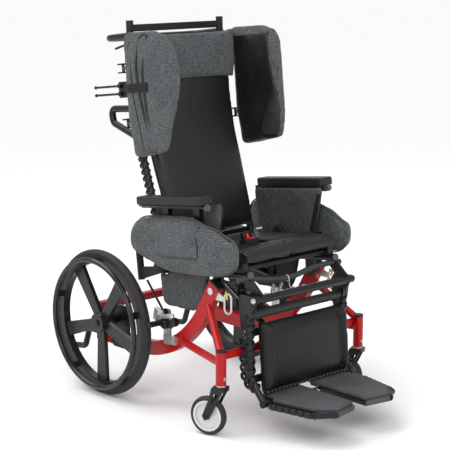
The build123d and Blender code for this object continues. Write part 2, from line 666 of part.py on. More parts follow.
def anti_tip_arm():
    """The bent black tube behind each member, with the small wheel's axle."""
    start = MEMBER_REAR_Y
    points = [
        (MEMBER_X, start, MEMBER_LEVEL_Z),
        (MEMBER_X, start + 60, MEMBER_LEVEL_Z),
        (MEMBER_X, start + 86, ANTI_TIP_WHEEL_Z + 22),
        (MEMBER_X, ANTI_TIP_WHEEL_Y, ANTI_TIP_WHEEL_Z),
    ]
    arm = bent_rod(points, 22, ANTI_TIP_TUBE_RADIUS)
    clear = ANTI_TIP_WHEEL_RADIUS + RUNNING_GAP * 2
    half = ANTI_TIP_WHEEL_WIDTH / 2 + RUNNING_GAP
    arm -= cross_rod(MEMBER_X - half, MEMBER_X + half, ANTI_TIP_WHEEL_Y, ANTI_TIP_WHEEL_Z, clear)
    cheek = block(
        (MEMBER_X + half, MEMBER_X + half + 3),
        (ANTI_TIP_WHEEL_Y - clear - 12, ANTI_TIP_WHEEL_Y + 8),
        (ANTI_TIP_WHEEL_Z - 7, ANTI_TIP_WHEEL_Z + 9),
    )
    arm += cheek + Pos(-2 * half - 3, 0, 0) * cheek
    return arm + cross_rod(MEMBER_X - half, MEMBER_X + half, ANTI_TIP_WHEEL_Y, ANTI_TIP_WHEEL_Z, 4)


def anti_tip_wheel():
    """The small anti-tip wheel with its bore."""
    half = ANTI_TIP_WHEEL_WIDTH / 2
    near, far = MEMBER_X - half, MEMBER_X + half
    wheel = cross_rod(near, far, ANTI_TIP_WHEEL_Y, ANTI_TIP_WHEEL_Z, ANTI_TIP_WHEEL_RADIUS)
    wheel = fillet(wheel.edges(), 4)
    return wheel - cross_rod(near, far, ANTI_TIP_WHEEL_Y, ANTI_TIP_WHEEL_Z, 4 + PIN_SLIP)


def post_cap():
    """The black cap on the castor post, with a pocket over the stem."""
    low = (CASTOR_POST_X, CASTOR_POST_Y, CASTOR_POST_HIGH)
    cap = rod(low, (CASTOR_POST_X, CASTOR_POST_Y, CASTOR_POST_HIGH + 7), CASTOR_POST_RADIUS - 1)
    return cap - castor_post()


def member_cap():
    """The black bracket cap on the member's upper end."""
    y = BEND_END_Y - MEMBER_STRAIGHT * cos(RISE)
    z = BEND_END_Z + MEMBER_STRAIGHT * sin(RISE)
    cap = block(
        (MEMBER_IN_X, MEMBER_OUT_X), (-MEMBER_DEPTH / 2, MEMBER_DEPTH / 2), (0, 7)
    )
    return Pos(0, y, z) * Rot(90 - MEMBER_RISE, 0, 0) * cap


# Gas springs
def tilt_gas_base():
    """The tilt spring's pin on the front cross bar (y, z)."""
    return (CASTOR_POST_Y + CROSS_BAR_BACKSET + 20, CROSS_BAR_Z + CROSS_BAR_RADIUS + 12)


def seat_point(y, z):
    """A point of the seat module (y, z) in the model's own frame."""
    place = SEAT_PLACE * Pos(0, y, z)
    return (place.position.Y, place.position.Z)


def tilt_gas_seat():
    """The tilt spring's pin on the seat frame (y, z)."""
    return seat_point(TILT_GAS_SEAT_Y, TILT_GAS_SEAT_Z)


def recline_gas_seat():
    """The recline spring's pin on the seat frame (y, z)."""
    return seat_point(RECLINE_GAS_SEAT_Y, RECLINE_GAS_SEAT_Z)


def recline_gas_back():
    """The recline spring's pin on the back's lower lever (y, z)."""
    return seat_point(HINGE_Y + BACK_LEVER_LENGTH * 0.2, HINGE_Z - BACK_LEVER_LENGTH)


def gas_tube(x, low, high, share):
    """A gas spring's cylinder with its eye, from the pin at low towards high."""
    start = Vector(x, *low)
    run = Vector(x, *high) - start
    along = run.normalized()
    end = start + run * share
    body = rod(tuple(start + along * 20), tuple(end), GAS_TUBE_RADIUS)
    body -= rod(tuple(start + along * 24), tuple(end), GAS_ROD_RADIUS + PIN_SLIP * 2)
    body += rod(tuple(start + along * (GAS_EYE_RADIUS - 2)), tuple(start + along * 21), GAS_ROD_RADIUS)
    eye = cross_rod(x - GAS_EYE_RADIUS + 1, x + GAS_EYE_RADIUS - 1, *low, GAS_EYE_RADIUS)
    return body + eye - cross_rod(x - GAS_EYE_RADIUS, x + GAS_EYE_RADIUS, *low, GAS_PIN_RADIUS + PIN_SLIP)


def gas_rod(x, low, high, share, bore):
    """A gas spring's rod with its eye at high, running inside the cylinder."""
    start = Vector(x, *low)
    run = Vector(x, *high) - start
    along = run.normalized()
    inner = start + run * (share - 0.22)
    piston = rod(tuple(inner), tuple(start + run - along * (GAS_EYE_RADIUS - 2)), GAS_ROD_RADIUS)
    eye = cross_rod(x - GAS_EYE_RADIUS + 1, x + GAS_EYE_RADIUS - 1, *high, GAS_EYE_RADIUS + bore)
    return piston + eye - cross_rod(x - GAS_EYE_RADIUS, x + GAS_EYE_RADIUS, *high, GAS_PIN_RADIUS + bore)


# Seat module, drawn with the seat level and the tilt pivot at y = 0, z = 0
def seat_frame():
    """Side rails, bed rails, cross tubes, pivot lugs, hinge plates, hinge rod and rear uprights."""
    half = None
    for side in SIDES.values():
        x = side * RAIL_X
        rail = pipe((x, RAIL_FRONT, RAIL_Z), (x, RAIL_REAR, RAIL_Z), RAIL_RADIUS)
        bed = block(
            (x - BED_WIDTH / 2, x + BED_WIDTH / 2),
            (CUSHION_FRONT + 24, RAIL_REAR - 60),
            (RAIL_Z + RAIL_RADIUS - 3, BED_TOP),
        )
        side_part = rail + (bed - rod((x, RAIL_FRONT, RAIL_Z), (x, RAIL_REAR, RAIL_Z), RAIL_RADIUS - 1))
        side_part += seat_lug(side) + hinge_plate(side) + rear_upright(side)
        side_part += rod((x, RAIL_FRONT - CAP_LENGTH, RAIL_Z), (x, RAIL_FRONT + 4, RAIL_Z), RAIL_RADIUS)
        half = side_part if half is None else half + side_part
    for y in (RAIL_FRONT + 34, RECLINE_GAS_SEAT_Y, TILT_GAS_SEAT_Y):
        half += cross_rod(-RAIL_X, RAIL_X, y, BED_TOP - 17, 9)
    half += gas_ears(TILT_GAS_X, TILT_GAS_SEAT_Y, TILT_GAS_SEAT_Z)
    half += gas_ears(RECLINE_GAS_X, RECLINE_GAS_SEAT_Y, RECLINE_GAS_SEAT_Z)
    reach = HINGE_PLATE_X + HINGE_PLATE_THICKNESS
    half += cross_rod(-reach, reach, HINGE_Y, HINGE_Z, HINGE_ROD_RADIUS)
    return half + leg_ears()


def seat_lug(side):
    """The lug that hangs from the rail to the tilt pivot."""
    x_near = side * (RAIL_X + RAIL_RADIUS - 2)
    x_far = side * (MEMBER_IN_X - 2)
    lug = cross_rod(x_near + side * 2, x_far, 0, 0, PIVOT_LUG_RADIUS)
    lug += block(sorted((x_near, x_far)), (-20, 20), (0, RAIL_Z + 6))
    return lug - cross_rod(x_near - side, x_far + side, 0, 0, PIVOT_PIN_RADIUS + PIN_SLIP)


def hinge_plate(side):
    """The plate that carries the recline hinge rod, on a foot from the rail."""
    near = side * HINGE_PLATE_X
    far = side * (HINGE_PLATE_X + HINGE_PLATE_THICKNESS)
    low = RAIL_Z - 8
    plate = polygon(
        [(HINGE_Y - 20, low), (RAIL_REAR, low), (HINGE_Y + 20, HINGE_Z + 8), (HINGE_Y - 16, HINGE_Z + 14)],
        min(near, far),
        max(near, far),
    )
    foot_x = sorted((side * (RAIL_X + RAIL_RADIUS - 3), far))
    foot = block(foot_x, (HINGE_Y - 20, RAIL_REAR), (low, RAIL_Z + 8))
    return plate + foot


def rear_upright(side):
    """The rail's rear end: a drop plate to the upright at the very back of the seat module."""
    x_near = RAIL_X - 6
    x_far = RAIL_X + 6
    plate = polygon(
        [
            (RAIL_REAR - 20, RAIL_Z + 11),
            (RAIL_REAR - 20, RAIL_Z - 11),
            (REAR_UPRIGHT_Y, REAR_UPRIGHT_LOW),
            (REAR_UPRIGHT_Y, REAR_UPRIGHT_LOW + 44),
        ],
        x_near,
        x_far,
    )
    low = (RAIL_X, REAR_UPRIGHT_Y, REAR_UPRIGHT_LOW)
    upright = rod(low, (RAIL_X, REAR_UPRIGHT_Y, REAR_UPRIGHT_HIGH), RAIL_RADIUS)
    return on_side(plate + upright, side)


def gas_ears(x, y, z):
    """Two ears under a cross tube with a gas spring's pin between them."""
    inner = GAS_EYE_RADIUS
    ear = block((x + inner, x + inner + 4), (y - 8, y + 8), (z - 9, BED_TOP - 17))
    ears = ear + Pos(-2 * inner - 4, 0, 0) * ear
    return ears + cross_rod(x - inner - 4, x + inner + 4, y, z, GAS_PIN_RADIUS)


def leg_ears():
    """Two ears in front of the rails that carry the legrest's pivot pins."""
    ears = None
    for side in SIDES.values():
        x = side * RAIL_X
        ear = polygon(
            [
                (RAIL_FRONT + 6, RAIL_Z + 6),
                (RAIL_FRONT + 44, RAIL_Z - 4),
                (LEG_PIVOT_Y + 14, LEG_PIVOT_Z - 12),
                (LEG_PIVOT_Y - 12, LEG_PIVOT_Z - 12),
                (LEG_PIVOT_Y - 12, LEG_PIVOT_Z + 12),
            ],
            x - LEG_EAR_THICKNESS / 2,
            x + LEG_EAR_THICKNESS / 2,
        )
        ear -= cross_rod(x - 10, x + 10, LEG_PIVOT_Y, LEG_PIVOT_Z, LEG_PIN_RADIUS + PIN_SLIP)
        ears = ear if ears is None else ears + ear
    return ears


def cushion_section(half_width, low, thickness, crown):
    """A cushion's cross section: flat base, leaning sides and a crowned top."""
    top = low + thickness
    swell = 3.0
    return [
        Line((-half_width + swell, low), (half_width - swell, low)),
        ThreePointArc(
            (half_width - swell, low), (half_width, low + thickness * 0.55), (half_width - swell, top)
        ),
        ThreePointArc((half_width - swell, top), (0, top + crown), (-half_width + swell, top)),
        ThreePointArc(
            (-half_width + swell, top), (-half_width, low + thickness * 0.55), (-half_width + swell, low)
        ),
    ]


def pad_stations():
    """Stations along a pad: share of its length, and how thick and how crowned it is there."""
    stations = []
    for step in range(9):
        share = (1 - cos(radians(step * 180 / 8))) / 2
        out = abs(2 * share - 1)
        stations.append((share, 1 - 0.4 * out**8, 1 - 0.75 * out**4))
    return stations


def seat_cushion():
    """The crowned seat cushion, drawn in between its corners, thinner at both ends."""
    length = CUSHION_REAR - CUSHION_FRONT
    faces = []
    for share, thick, crown in pad_stations():
        height = CUSHION_THICKNESS * thick
        section = cushion_section(CUSHION_HALF_WIDTH, CUSHION_LOW, height, CUSHION_CROWN * crown)
        faces.append(Plane.XZ.offset(-CUSHION_FRONT - length * share) * make_face(section))
    return loft(faces)


def arm_sockets():
    """The sockets that the arm posts slide in, each on an arm from the rail."""
    sockets = None
    for side in SIDES.values():
        for y in ARM_POST_YS:
            half_x = ARM_POST_WIDTH / 2 + ARM_SLIP
            half_y = ARM_POST_DEPTH / 2 + ARM_SLIP
            wall = ARM_SOCKET_WALL
            x = side * ARM_X
            socket = block(
                (x - half_x - wall, x + half_x + wall),
                (y - half_y - wall, y + half_y + wall),
                (ARM_SOCKET_LOW, ARM_SOCKET_HIGH),
            )
            socket -= block(
                (x - half_x, x + half_x), (y - half_y, y + half_y), (ARM_SOCKET_LOW + 4, ARM_SOCKET_HIGH)
            )
            foot_near = side * (RAIL_X + BED_WIDTH / 2)
            foot_far = x - side * half_x
            foot = block(sorted((foot_near, foot_far)), (y - 14, y + 14), (ARM_SOCKET_LOW, BED_TOP - 2))
            socket += foot
            sockets = socket if sockets is None else sockets + socket
    return sockets


def arm_frame():
    """The arm's rail with its two posts and the round front knob."""
    rail = block(
        (ARM_X - ARM_POST_WIDTH / 2, PAD_X + 8),
        (ARM_RAIL_FRONT, ARM_RAIL_REAR),
        (ARM_RAIL_Z - ARM_RAIL_HEIGHT / 2, ARM_RAIL_Z + ARM_RAIL_HEIGHT / 2),
    )
    for y in ARM_POST_YS:
        rail += block(
            (ARM_X - ARM_POST_WIDTH / 2, ARM_X + ARM_POST_WIDTH / 2),
            (y - ARM_POST_DEPTH / 2, y + ARM_POST_DEPTH / 2),
            (ARM_POST_LOW, ARM_RAIL_Z),
        )
        rail += block(
            (ARM_PANEL_INNER_X + ARM_PANEL_THICKNESS, ARM_X),
            (y - ARM_POST_DEPTH / 2, y + ARM_POST_DEPTH / 2),
            (ARM_SOCKET_HIGH + 6, ARM_RAIL_Z - 10),
        )
    knob_x = ARM_X + 12
    knob_z = PAD_LOW - KNOB_RADIUS - SEAT_GAP
    knob_start = (knob_x, ARM_RAIL_FRONT - KNOB_LENGTH, knob_z)
    return rail + rod(knob_start, (knob_x, ARM_RAIL_FRONT + 2, knob_z), KNOB_RADIUS)


def arm_pad():
    """The padded armrest: rounded ends and edges."""
    half = PAD_WIDTH / 2
    pad = block((PAD_X - half, PAD_X + half), (PAD_FRONT, PAD_REAR), (PAD_LOW, PAD_LOW + PAD_HEIGHT))
    pad = fillet(pad.edges().filter_by(Axis.Z), 16)
    return fillet(pad.faces().sort_by(Axis.Z)[-1].edges(), 7)


def arm_panel():
    """The fabric panel inside the arm posts."""
    top = ARM_RAIL_Z - ARM_RAIL_HEIGHT / 2 - 1
    panel = polygon(
        [(269, top), (-71, top), (-5, CUSHION_LOW + 4), (212, CUSHION_LOW + 6), (262, 148)],
        ARM_PANEL_INNER_X,
        ARM_PANEL_INNER_X + ARM_PANEL_THICKNESS,
    )
    return fillet(panel.edges().filter_by(Axis.X), 12)


def side_panel_outline():
    """The pear-shaped outline of the side panel as a closed smooth curve in the y-z plane."""
    front = [(-88, 221), (-135, 192), (-162, 160), (-172, 124), (-160, 90), (-128, 66)]
    lower = [(-70, 54), (20, 48), (110, 50), (198, 62), (262, 86), (318, 106)]
    rear = [(345, 130), (351, 165), (338, 200), (312, 228), (262, 244)]
    upper = [(190, 249), (110, 251), (20, 248), (-38, 239)]
    return Spline(*front, *lower, *rear, *upper, periodic=True)


def side_panel():
    """The padded side panel: a flat core with softly rounded edges."""
    outline = side_panel_outline()
    panel = profile(outline, SIDE_PANEL_X, SIDE_PANEL_X + SIDE_PANEL_THICKNESS)
    panel = fillet(panel.faces().sort_by(Axis.X)[-1].edges(), 12)
    return fillet(panel.faces().sort_by(Axis.X)[0].edges(), 7)


def skirt():
    """The hanging fabric panel on the outside of the seat rail, with two soft folds."""
    under_hinge_plate = RAIL_Z - 8 - SEAT_GAP
    on_rail = RAIL_Z + 2
    outline = [
        Line((295, under_hinge_plate), (291, -55)),
        ThreePointArc((291, -55), (276, -68), (245, -75)),
        Line((245, -75), (138, -85)),
        ThreePointArc((138, -85), (104, -72), (77, -40)),
        Line((77, -40), (45, on_rail)),
        Line((45, on_rail), (SKIRT_STEP_Y, on_rail)),
        Line((SKIRT_STEP_Y, on_rail), (SKIRT_STEP_Y, under_hinge_plate)),
        Line((SKIRT_STEP_Y, under_hinge_plate), (295, under_hinge_plate)),
    ]
    panel = profile(outline, SKIRT_X, SKIRT_X + SKIRT_THICKNESS)
    fold = rod((SKIRT_X + SKIRT_THICKNESS + 9, 214, -120), (SKIRT_X + SKIRT_THICKNESS + 9, 250, 90), 11)
    return panel - fold - Pos(0, -92, 0) * fold


def side_bracket():
    """The two straps that hold the side panel on the arm sockets' outer faces."""
    x_near = ARM_X + ARM_POST_WIDTH / 2 + ARM_SLIP + ARM_SOCKET_WALL
    strap = None
    for y in ARM_POST_YS:
        piece = block((x_near, SIDE_PANEL_X), (y - 10, y + 10), (110, 170))
        strap = piece if strap is None else strap + piece
    return strap


def webbing(points, y_start):
    """A strip of webbing along a line of (x, z) points, its width along y."""
    line = Polyline(*points)
    strip = make_face(offset(line, BELT_THICKNESS / 2, kind=Kind.INTERSECTION, side=Side.BOTH))
    return Pos(0, y_start + BELT_WIDTH, 0) * extrude(Plane.XZ * strip, BELT_WIDTH)


def seat_belt():
    """Two halves of webbing over the cushion, their anchors, the buckle shell and the adjuster."""
    side_x = CUSHION_HALF_WIDTH + 4.5
    rise = CUSHION_HIGH + BELT_THICKNESS
    shoulder = CUSHION_HIGH - CUSHION_CROWN + BELT_THICKNESS
    y_start = BELT_Y - BELT_WIDTH / 2
    near = [(-side_x, 70), (-side_x, shoulder), (-side_x + 6, shoulder + 3), (BUCKLE_X - 20, rise - 1)]
    far = [(side_x, 70), (side_x, shoulder), (side_x - 6, shoulder + 3), (110, rise - 1)]
    far += [(0, rise), (BUCKLE_X + 50, rise)]
    belt = webbing(near, y_start) + webbing(far, y_start)
    for side in SIDES.values():
        foot = (side * (RAIL_X + BED_WIDTH / 2), side * (side_x + 1))
        belt += block(sorted(foot), (BELT_Y - 13, BELT_Y + 13), (62, 80))
    low = CUSHION_HIGH + SEAT_GAP
    shell = block((BUCKLE_X - 30, BUCKLE_X + 30), (BELT_Y - 21, BELT_Y + 21), (low, low + 17))
    shell = rounded(shell, 8, Axis.Z)
    shell -= block((BUCKLE_X - 13, BUCKLE_X + 13), (BELT_Y - 14, BELT_Y + 8), (low + 7, low + 17))
    tongue = block((BUCKLE_X + 26, BUCKLE_X + 54), (BELT_Y - 12, BELT_Y + 12), (low + 4, low + 7))
    adjuster = block((BUCKLE_X + 38, BUCKLE_X + 56), (BELT_Y - 27, BELT_Y + 27), (low, low + 8))
    return belt + shell + tongue + adjuster


def buckle_button():
    """The red release button in the buckle's pocket."""
    slip = 13 - SEAT_GAP
    low = CUSHION_HIGH + SEAT_GAP
    return block(
        (BUCKLE_X - slip, BUCKLE_X + slip),
        (BELT_Y - 14 + SEAT_GAP, BELT_Y + 8 - SEAT_GAP),
        (low + 7 + BUTTON_TRAVEL + SEAT_GAP, low + 17 + BUTTON_TRAVEL),
    )


def control_cables():
    """The bundle of control cables that hangs below the seat's front edge, between the rails."""
    y = RAIL_FRONT + 12
    end_x = RAIL_X - RAIL_RADIUS + 2
    points = [
        (-end_x, y, RAIL_Z - 4),
        (-130, y, RAIL_Z - 24),
        (-60, y, RAIL_Z - 34),
        (30, y, RAIL_Z - 34),
        (110, y, RAIL_Z - 24),
        (end_x, y, RAIL_Z - 4),
    ]
    bundle = bent_rod(points, 120, CABLE_RADIUS)
    for side in SIDES.values():
        x = side * RAIL_X
        bundle -= rod((x, RAIL_FRONT, RAIL_Z), (x, RAIL_FRONT + 60, RAIL_Z), RAIL_RADIUS)
    return bundle


# Back module, drawn with the recline hinge at y = 0, z = 0
def spine_point(length, forward=0.0):
    """A point (y, z) at a length up the back tube, moved forward square to it, and the lean there."""
    lower = radians(BACK_LOWER_LEAN)
    if length <= BACK_STRAIGHT:
        lean = lower
        y, z = length * sin(lower), length * cos(lower)
    elif length <= BACK_STRAIGHT + BACK_ARC:
        lean = lower - (length - BACK_STRAIGHT) / BACK_BEND_RADIUS
        y = BACK_STRAIGHT * sin(lower) + BACK_BEND_RADIUS * (cos(lean) - cos(lower))
        z = BACK_STRAIGHT * cos(lower) + BACK_BEND_RADIUS * (sin(lower) - sin(lean))
    else:
        y, z, lean = spine_point(BACK_STRAIGHT + BACK_ARC)
        extra = length - BACK_STRAIGHT - BACK_ARC
        y, z = y + extra * sin(lean), z + extra * cos(lean)
    return (y - forward * cos(lean), z + forward * sin(lean), lean)


def spine_path(x, start, end):
    """The back tube's centre line at one x between two lengths."""
    edges = []
    marks = [start, BACK_STRAIGHT, BACK_STRAIGHT + BACK_ARC, end]
    points = [(x, *spine_point(mark)[:2]) for mark in marks]
    middle = (x, *spine_point(BACK_STRAIGHT + BACK_ARC / 2)[:2])
    edges.append(Line(points[0], points[1]))
    edges.append(ThreePointArc(points[1], middle, points[2]))
    edges.append(Line(points[2], points[3]))
    return Wire(edges)


def spine_plane(length, forward):
    """A plane square to the back tube, its x across the chair and its y towards the front."""
    y, z, lean = spine_point(length, forward)
    return Plane(origin=(0, y, z), x_dir=(-1, 0, 0), z_dir=(0, sin(lean), cos(lean)))


def spine_tube(side, radius, start=0.0, end=BACK_LENGTH):
    """A solid round bar along one back tube's centre line."""
    path = spine_path(side * BACK_TUBE_X, start, end)
    return sweep(Plane(origin=path @ 0, z_dir=path % 0) * Circle(radius), path)


def spine_bar(length, depth, height):
    """A flat bar across the back between the two tubes."""
    y, z, lean = spine_point(length)
    return Pos(0, y, z) * Rot(-degrees(lean), 0, 0) * Box(2 * BACK_TUBE_X, depth, height)


def back_frame():
    """Two bent side tubes with hinge hubs, cross bars, wing brackets and the spring lever."""
    frame = None
    for side in SIDES.values():
        x = side * BACK_TUBE_X
        tube = spine_tube(side, BACK_TUBE_RADIUS) + cross_rod(x - 14, x + 14, 0, 0, BACK_HUB_RADIUS)
        tube += on_side(wing_bracket(), side)
        frame = tube if frame is None else frame + tube
    frame += spine_bar(TOP_BAR_LENGTH, TOP_BAR_DEPTH, TOP_BAR_HEIGHT)
    frame += spine_bar(BACK_STRAIGHT + 40, 10, 18)
    frame += cross_rod(-BACK_TUBE_X, BACK_TUBE_X, *spine_point(22)[:2], 9)
    frame += lever_arm()
    for side in SIDES.values():
        frame -= spine_tube(side, BACK_TUBE_RADIUS - 2, 40, BACK_LENGTH - 60)
    reach = BACK_TUBE_X + 20
    return frame - cross_rod(-reach, reach, 0, 0, HINGE_ROD_RADIUS + PIN_SLIP)


def lever_arm():
    """The two arm plates that drop from the lowest cross bar to the recline spring's pin."""
    low_y, low_z = BACK_LEVER_LENGTH * 0.2, -BACK_LEVER_LENGTH
    high_y, high_z, lean = spine_point(22)
    inner = RECLINE_GAS_X + GAS_EYE_RADIUS
    arm = polygon(
        [(high_y - 10, high_z), (high_y + 10, high_z), (low_y + 10, low_z - 4), (low_y - 10, low_z - 4)],
        inner,
        inner + 4,
    )
    arm += Pos(-2 * GAS_EYE_RADIUS - 4, 0, 0) * arm
    return arm + cross_rod(inner - 2 * GAS_EYE_RADIUS - 4, inner + 4, low_y, low_z, GAS_PIN_RADIUS)


def strap_marks():
    """The lengths up the back tube where a strap loop fits between the tube's fittings."""
    fittings = [(40, 52), (LOOP_LOW - 18, LOOP_LOW + 27), (LOOP_HIGH - 16, LOOP_HIGH + 16), (458, 478)]
    fittings += [(z + 11 - 21, z + 11 + 21) for z in WING_HINGE_ZS]
    fittings += [(CLAMP_LOW + 7, CLAMP_HIGH + 13)]
    marks = []
    mark = 64.0
    while mark < BACK_LENGTH - 86:
        low, high = mark - STRAP_HEIGHT / 2, mark + STRAP_HEIGHT / 2
        if all(high < start or low > end for start, end in fittings):
            marks.append(mark)
            mark += STRAP_SPACING
        else:
            mark += 3
    return marks


def back_straps():
    """The wound strap loops on both back tubes."""
    loops = []
    ring = Cylinder(STRAP_RADIUS, STRAP_HEIGHT) - Cylinder(BACK_TUBE_RADIUS + PIN_SLIP, STRAP_HEIGHT)
    for side in SIDES.values():
        for mark in strap_marks():
            y, z, lean = spine_point(mark)
            loops.append(Pos(side * BACK_TUBE_X, y, z) * Rot(-degrees(lean), 0, 0) * ring)
    return loops


def back_pad():
    """The crowned back pad that follows the tubes' bend and narrows downwards."""
    faces = []
    span = BACK_PAD_END - BACK_PAD_START
    for share, thick, crown in pad_stations():
        half = BACK_PAD_HALF_LOW + (BACK_PAD_HALF_TOP - BACK_PAD_HALF_LOW) * min(1, share * 1.4)
        section = make_face(cushion_section(half, 0, BACK_PAD_THICKNESS * thick, BACK_PAD_CROWN * crown))
        faces.append(spine_plane(BACK_PAD_START + span * share, BACK_PAD_OFFSET) * section)
    return loft(faces)


def head_pillow():
    """The head pillow: full ends and a dipped top edge, settled where the pad's crown runs out."""
    forward = BACK_PAD_OFFSET + BACK_PAD_THICKNESS + BACK_PAD_CROWN + PILLOW_GAP
    y, z, lean = spine_point((PILLOW_START + PILLOW_END) / 2, forward)
    height = (PILLOW_END - PILLOW_START) / 2
    faces = []
    for share, thick, crown in pad_stations():
        across = (2 * share - 1) * PILLOW_HALF
        plane = Plane(origin=(across, y, z), x_dir=(0, -cos(lean), sin(lean)), z_dir=(1, 0, 0))
        reach = PILLOW_THICKNESS * thick
        half = height - PILLOW_DIP * crown
        section = [
            Line((0, half - 6), (0, -half + 6)),
            ThreePointArc((0, -half + 6), (reach * 0.4, -half), (reach * 0.8, -half + 10)),
            ThreePointArc((reach * 0.8, -half + 10), (reach, 0), (reach * 0.8, half - 10)),
            ThreePointArc((reach * 0.8, half - 10), (reach * 0.4, half), (0, half - 6)),
        ]
        faces.append(plane * make_face(section))
    return loft(faces)


def head_wing():
    """One padded head wing with its two bored hinge arms."""
    front = [(-60, 738), (-150, 722), (-182, 680), (-178, 420), (-128, 332)]
    outline = [(50, 744), *front, (34, 312), (58, 441)]
    wing = polygon(outline, WING_X, WING_X + WING_THICKNESS)
    wing = fillet(wing.edges().filter_by(Axis.X), 20)
    wing = fillet(wing.faces().sort_by(Axis.X)[-1].edges(), 12)
    wing = fillet(wing.faces().sort_by(Axis.X)[0].edges(), 16)
    half = WING_ARM_HEIGHT / 2
    for z in WING_HINGE_ZS:
        low = (WING_HINGE_X, WING_HINGE_Y, z - half)
        high = (WING_HINGE_X, WING_HINGE_Y, z + half)
        wing += block((WING_HINGE_X - 6, WING_HINGE_X + 6), (30, WING_HINGE_Y), (z - half, z + half))
        wing += rod(low, high, WING_PIN_RADIUS * 2)
        wing -= rod(low, high, WING_PIN_RADIUS + PIN_SLIP)
    return wing


def wing_bracket():
    """The ears on the left back tube that carry the wing's pins."""
    half = WING_ARM_HEIGHT / 2 + RUNNING_GAP
    bracket = None
    for z in WING_HINGE_ZS:
        for low in (z - half - WING_EAR_THICKNESS, z + half):
            ear = block(
                (BACK_PAD_HALF_TOP + 1, WING_HINGE_X + 9),
                (WING_HINGE_Y - 7, WING_HINGE_Y + 19),
                (low, low + WING_EAR_THICKNESS),
            )
            bracket = ear if bracket is None else bracket + ear
        reach = half + WING_EAR_THICKNESS
        low, high = (WING_HINGE_X, WING_HINGE_Y, z - reach), (WING_HINGE_X, WING_HINGE_Y, z + reach)
        bracket += rod(low, high, WING_PIN_RADIUS)
    return bracket


def push_handles():
    """The upper push bar, the two lower push loops, and the clamp that carries the hand levers."""
    top_y, top_z, lean = spine_point(HANDLE_LENGTH)
    reach = BACK_TUBE_X
    corners = [(-reach, top_y), (-reach, HANDLE_REAR_Y), (reach, HANDLE_REAR_Y), (reach, top_y)]
    handles = bent_rod([(x, y, top_z) for x, y in corners], 45, HANDLE_TUBE_RADIUS)
    for side in SIDES.values():
        x = side * BACK_TUBE_X
        high_y, high_z, lean = spine_point(LOOP_HIGH)
        low_y, low_z, lean = spine_point(LOOP_LOW)
        loop = [(x, high_y, high_z), (x, 220, high_z + 4), (x, 214, high_z - 44), (x, low_y, low_z)]
        handles += bent_rod(loop, 20, HANDLE_TUBE_RADIUS)
    handles -= spine_bar(BACK_STRAIGHT + 40, 10, 18)
    handles += lever_clamp()
    start_y, start_z, lean = spine_point(HANDLE_LENGTH - 24)
    release_end = (-BACK_TUBE_X, start_y + 82, start_z - 14)
    handles += rod((-BACK_TUBE_X, start_y, start_z), release_end, LEVER_RADIUS)
    for side in SIDES.values():
        handles -= spine_tube(side, BACK_TUBE_RADIUS)
    return handles


def lever_clamp():
    """The clamp ring on the right tube with its plate and the two lever pins."""
    x = -BACK_TUBE_X
    low_y, low_z, lean = spine_point(CLAMP_LOW + 10)
    high_y, high_z, lean = spine_point(CLAMP_HIGH + 10)
    clamp = rod((x, low_y, low_z), (x, high_y, high_z), STRAP_RADIUS)
    plate_x = (x - CLAMP_PLATE_THICKNESS / 2, x + CLAMP_PLATE_THICKNESS / 2)
    plate = block(plate_x, (low_y + 4, LEVER_PIVOT_Y + 12), (CLAMP_LOW + 2, CLAMP_HIGH - 6))
    clamp += rounded(plate, 5)
    for z in LEVER_PIVOT_ZS.values():
        end = plate_x[0] - RUNNING_GAP - LEVER_HUB_WIDTH
        clamp += cross_rod(end, x, LEVER_PIVOT_Y, z, LEVER_PIN_RADIUS)
    return clamp


def hand_lever(name):
    """One hand lever: a bored hub and a rod with a rounded tip."""
    z = LEVER_PIVOT_ZS[name]
    far = -BACK_TUBE_X - CLAMP_PLATE_THICKNESS / 2 - RUNNING_GAP
    near = far - LEVER_HUB_WIDTH
    middle = (far + near) / 2
    lever = cross_rod(near, far, LEVER_PIVOT_Y, z, LEVER_HUB_RADIUS)
    tip = (middle, LEVER_PIVOT_Y + LEVER_LENGTH, z)
    lever += rod((middle, LEVER_PIVOT_Y + 4, z), tip, LEVER_RADIUS)
    lever += Pos(*tip) * Sphere(LEVER_RADIUS * 1.5)
    return lever - cross_rod(near, far, LEVER_PIVOT_Y, z, LEVER_PIN_RADIUS + PIN_SLIP)


# Legrest module, drawn hanging straight down from its pivot at y = 0, z = 0
def leg_side_points():
    """The side tube's centre line (y, z): back from the pivot, down, then forward to the foot hinge."""
    return [(6, 0), (36, -52), (47, -133), (50, -252), (22, -296), (-FOOT_HINGE_FORWARD, -FOOT_HINGE_DOWN)]


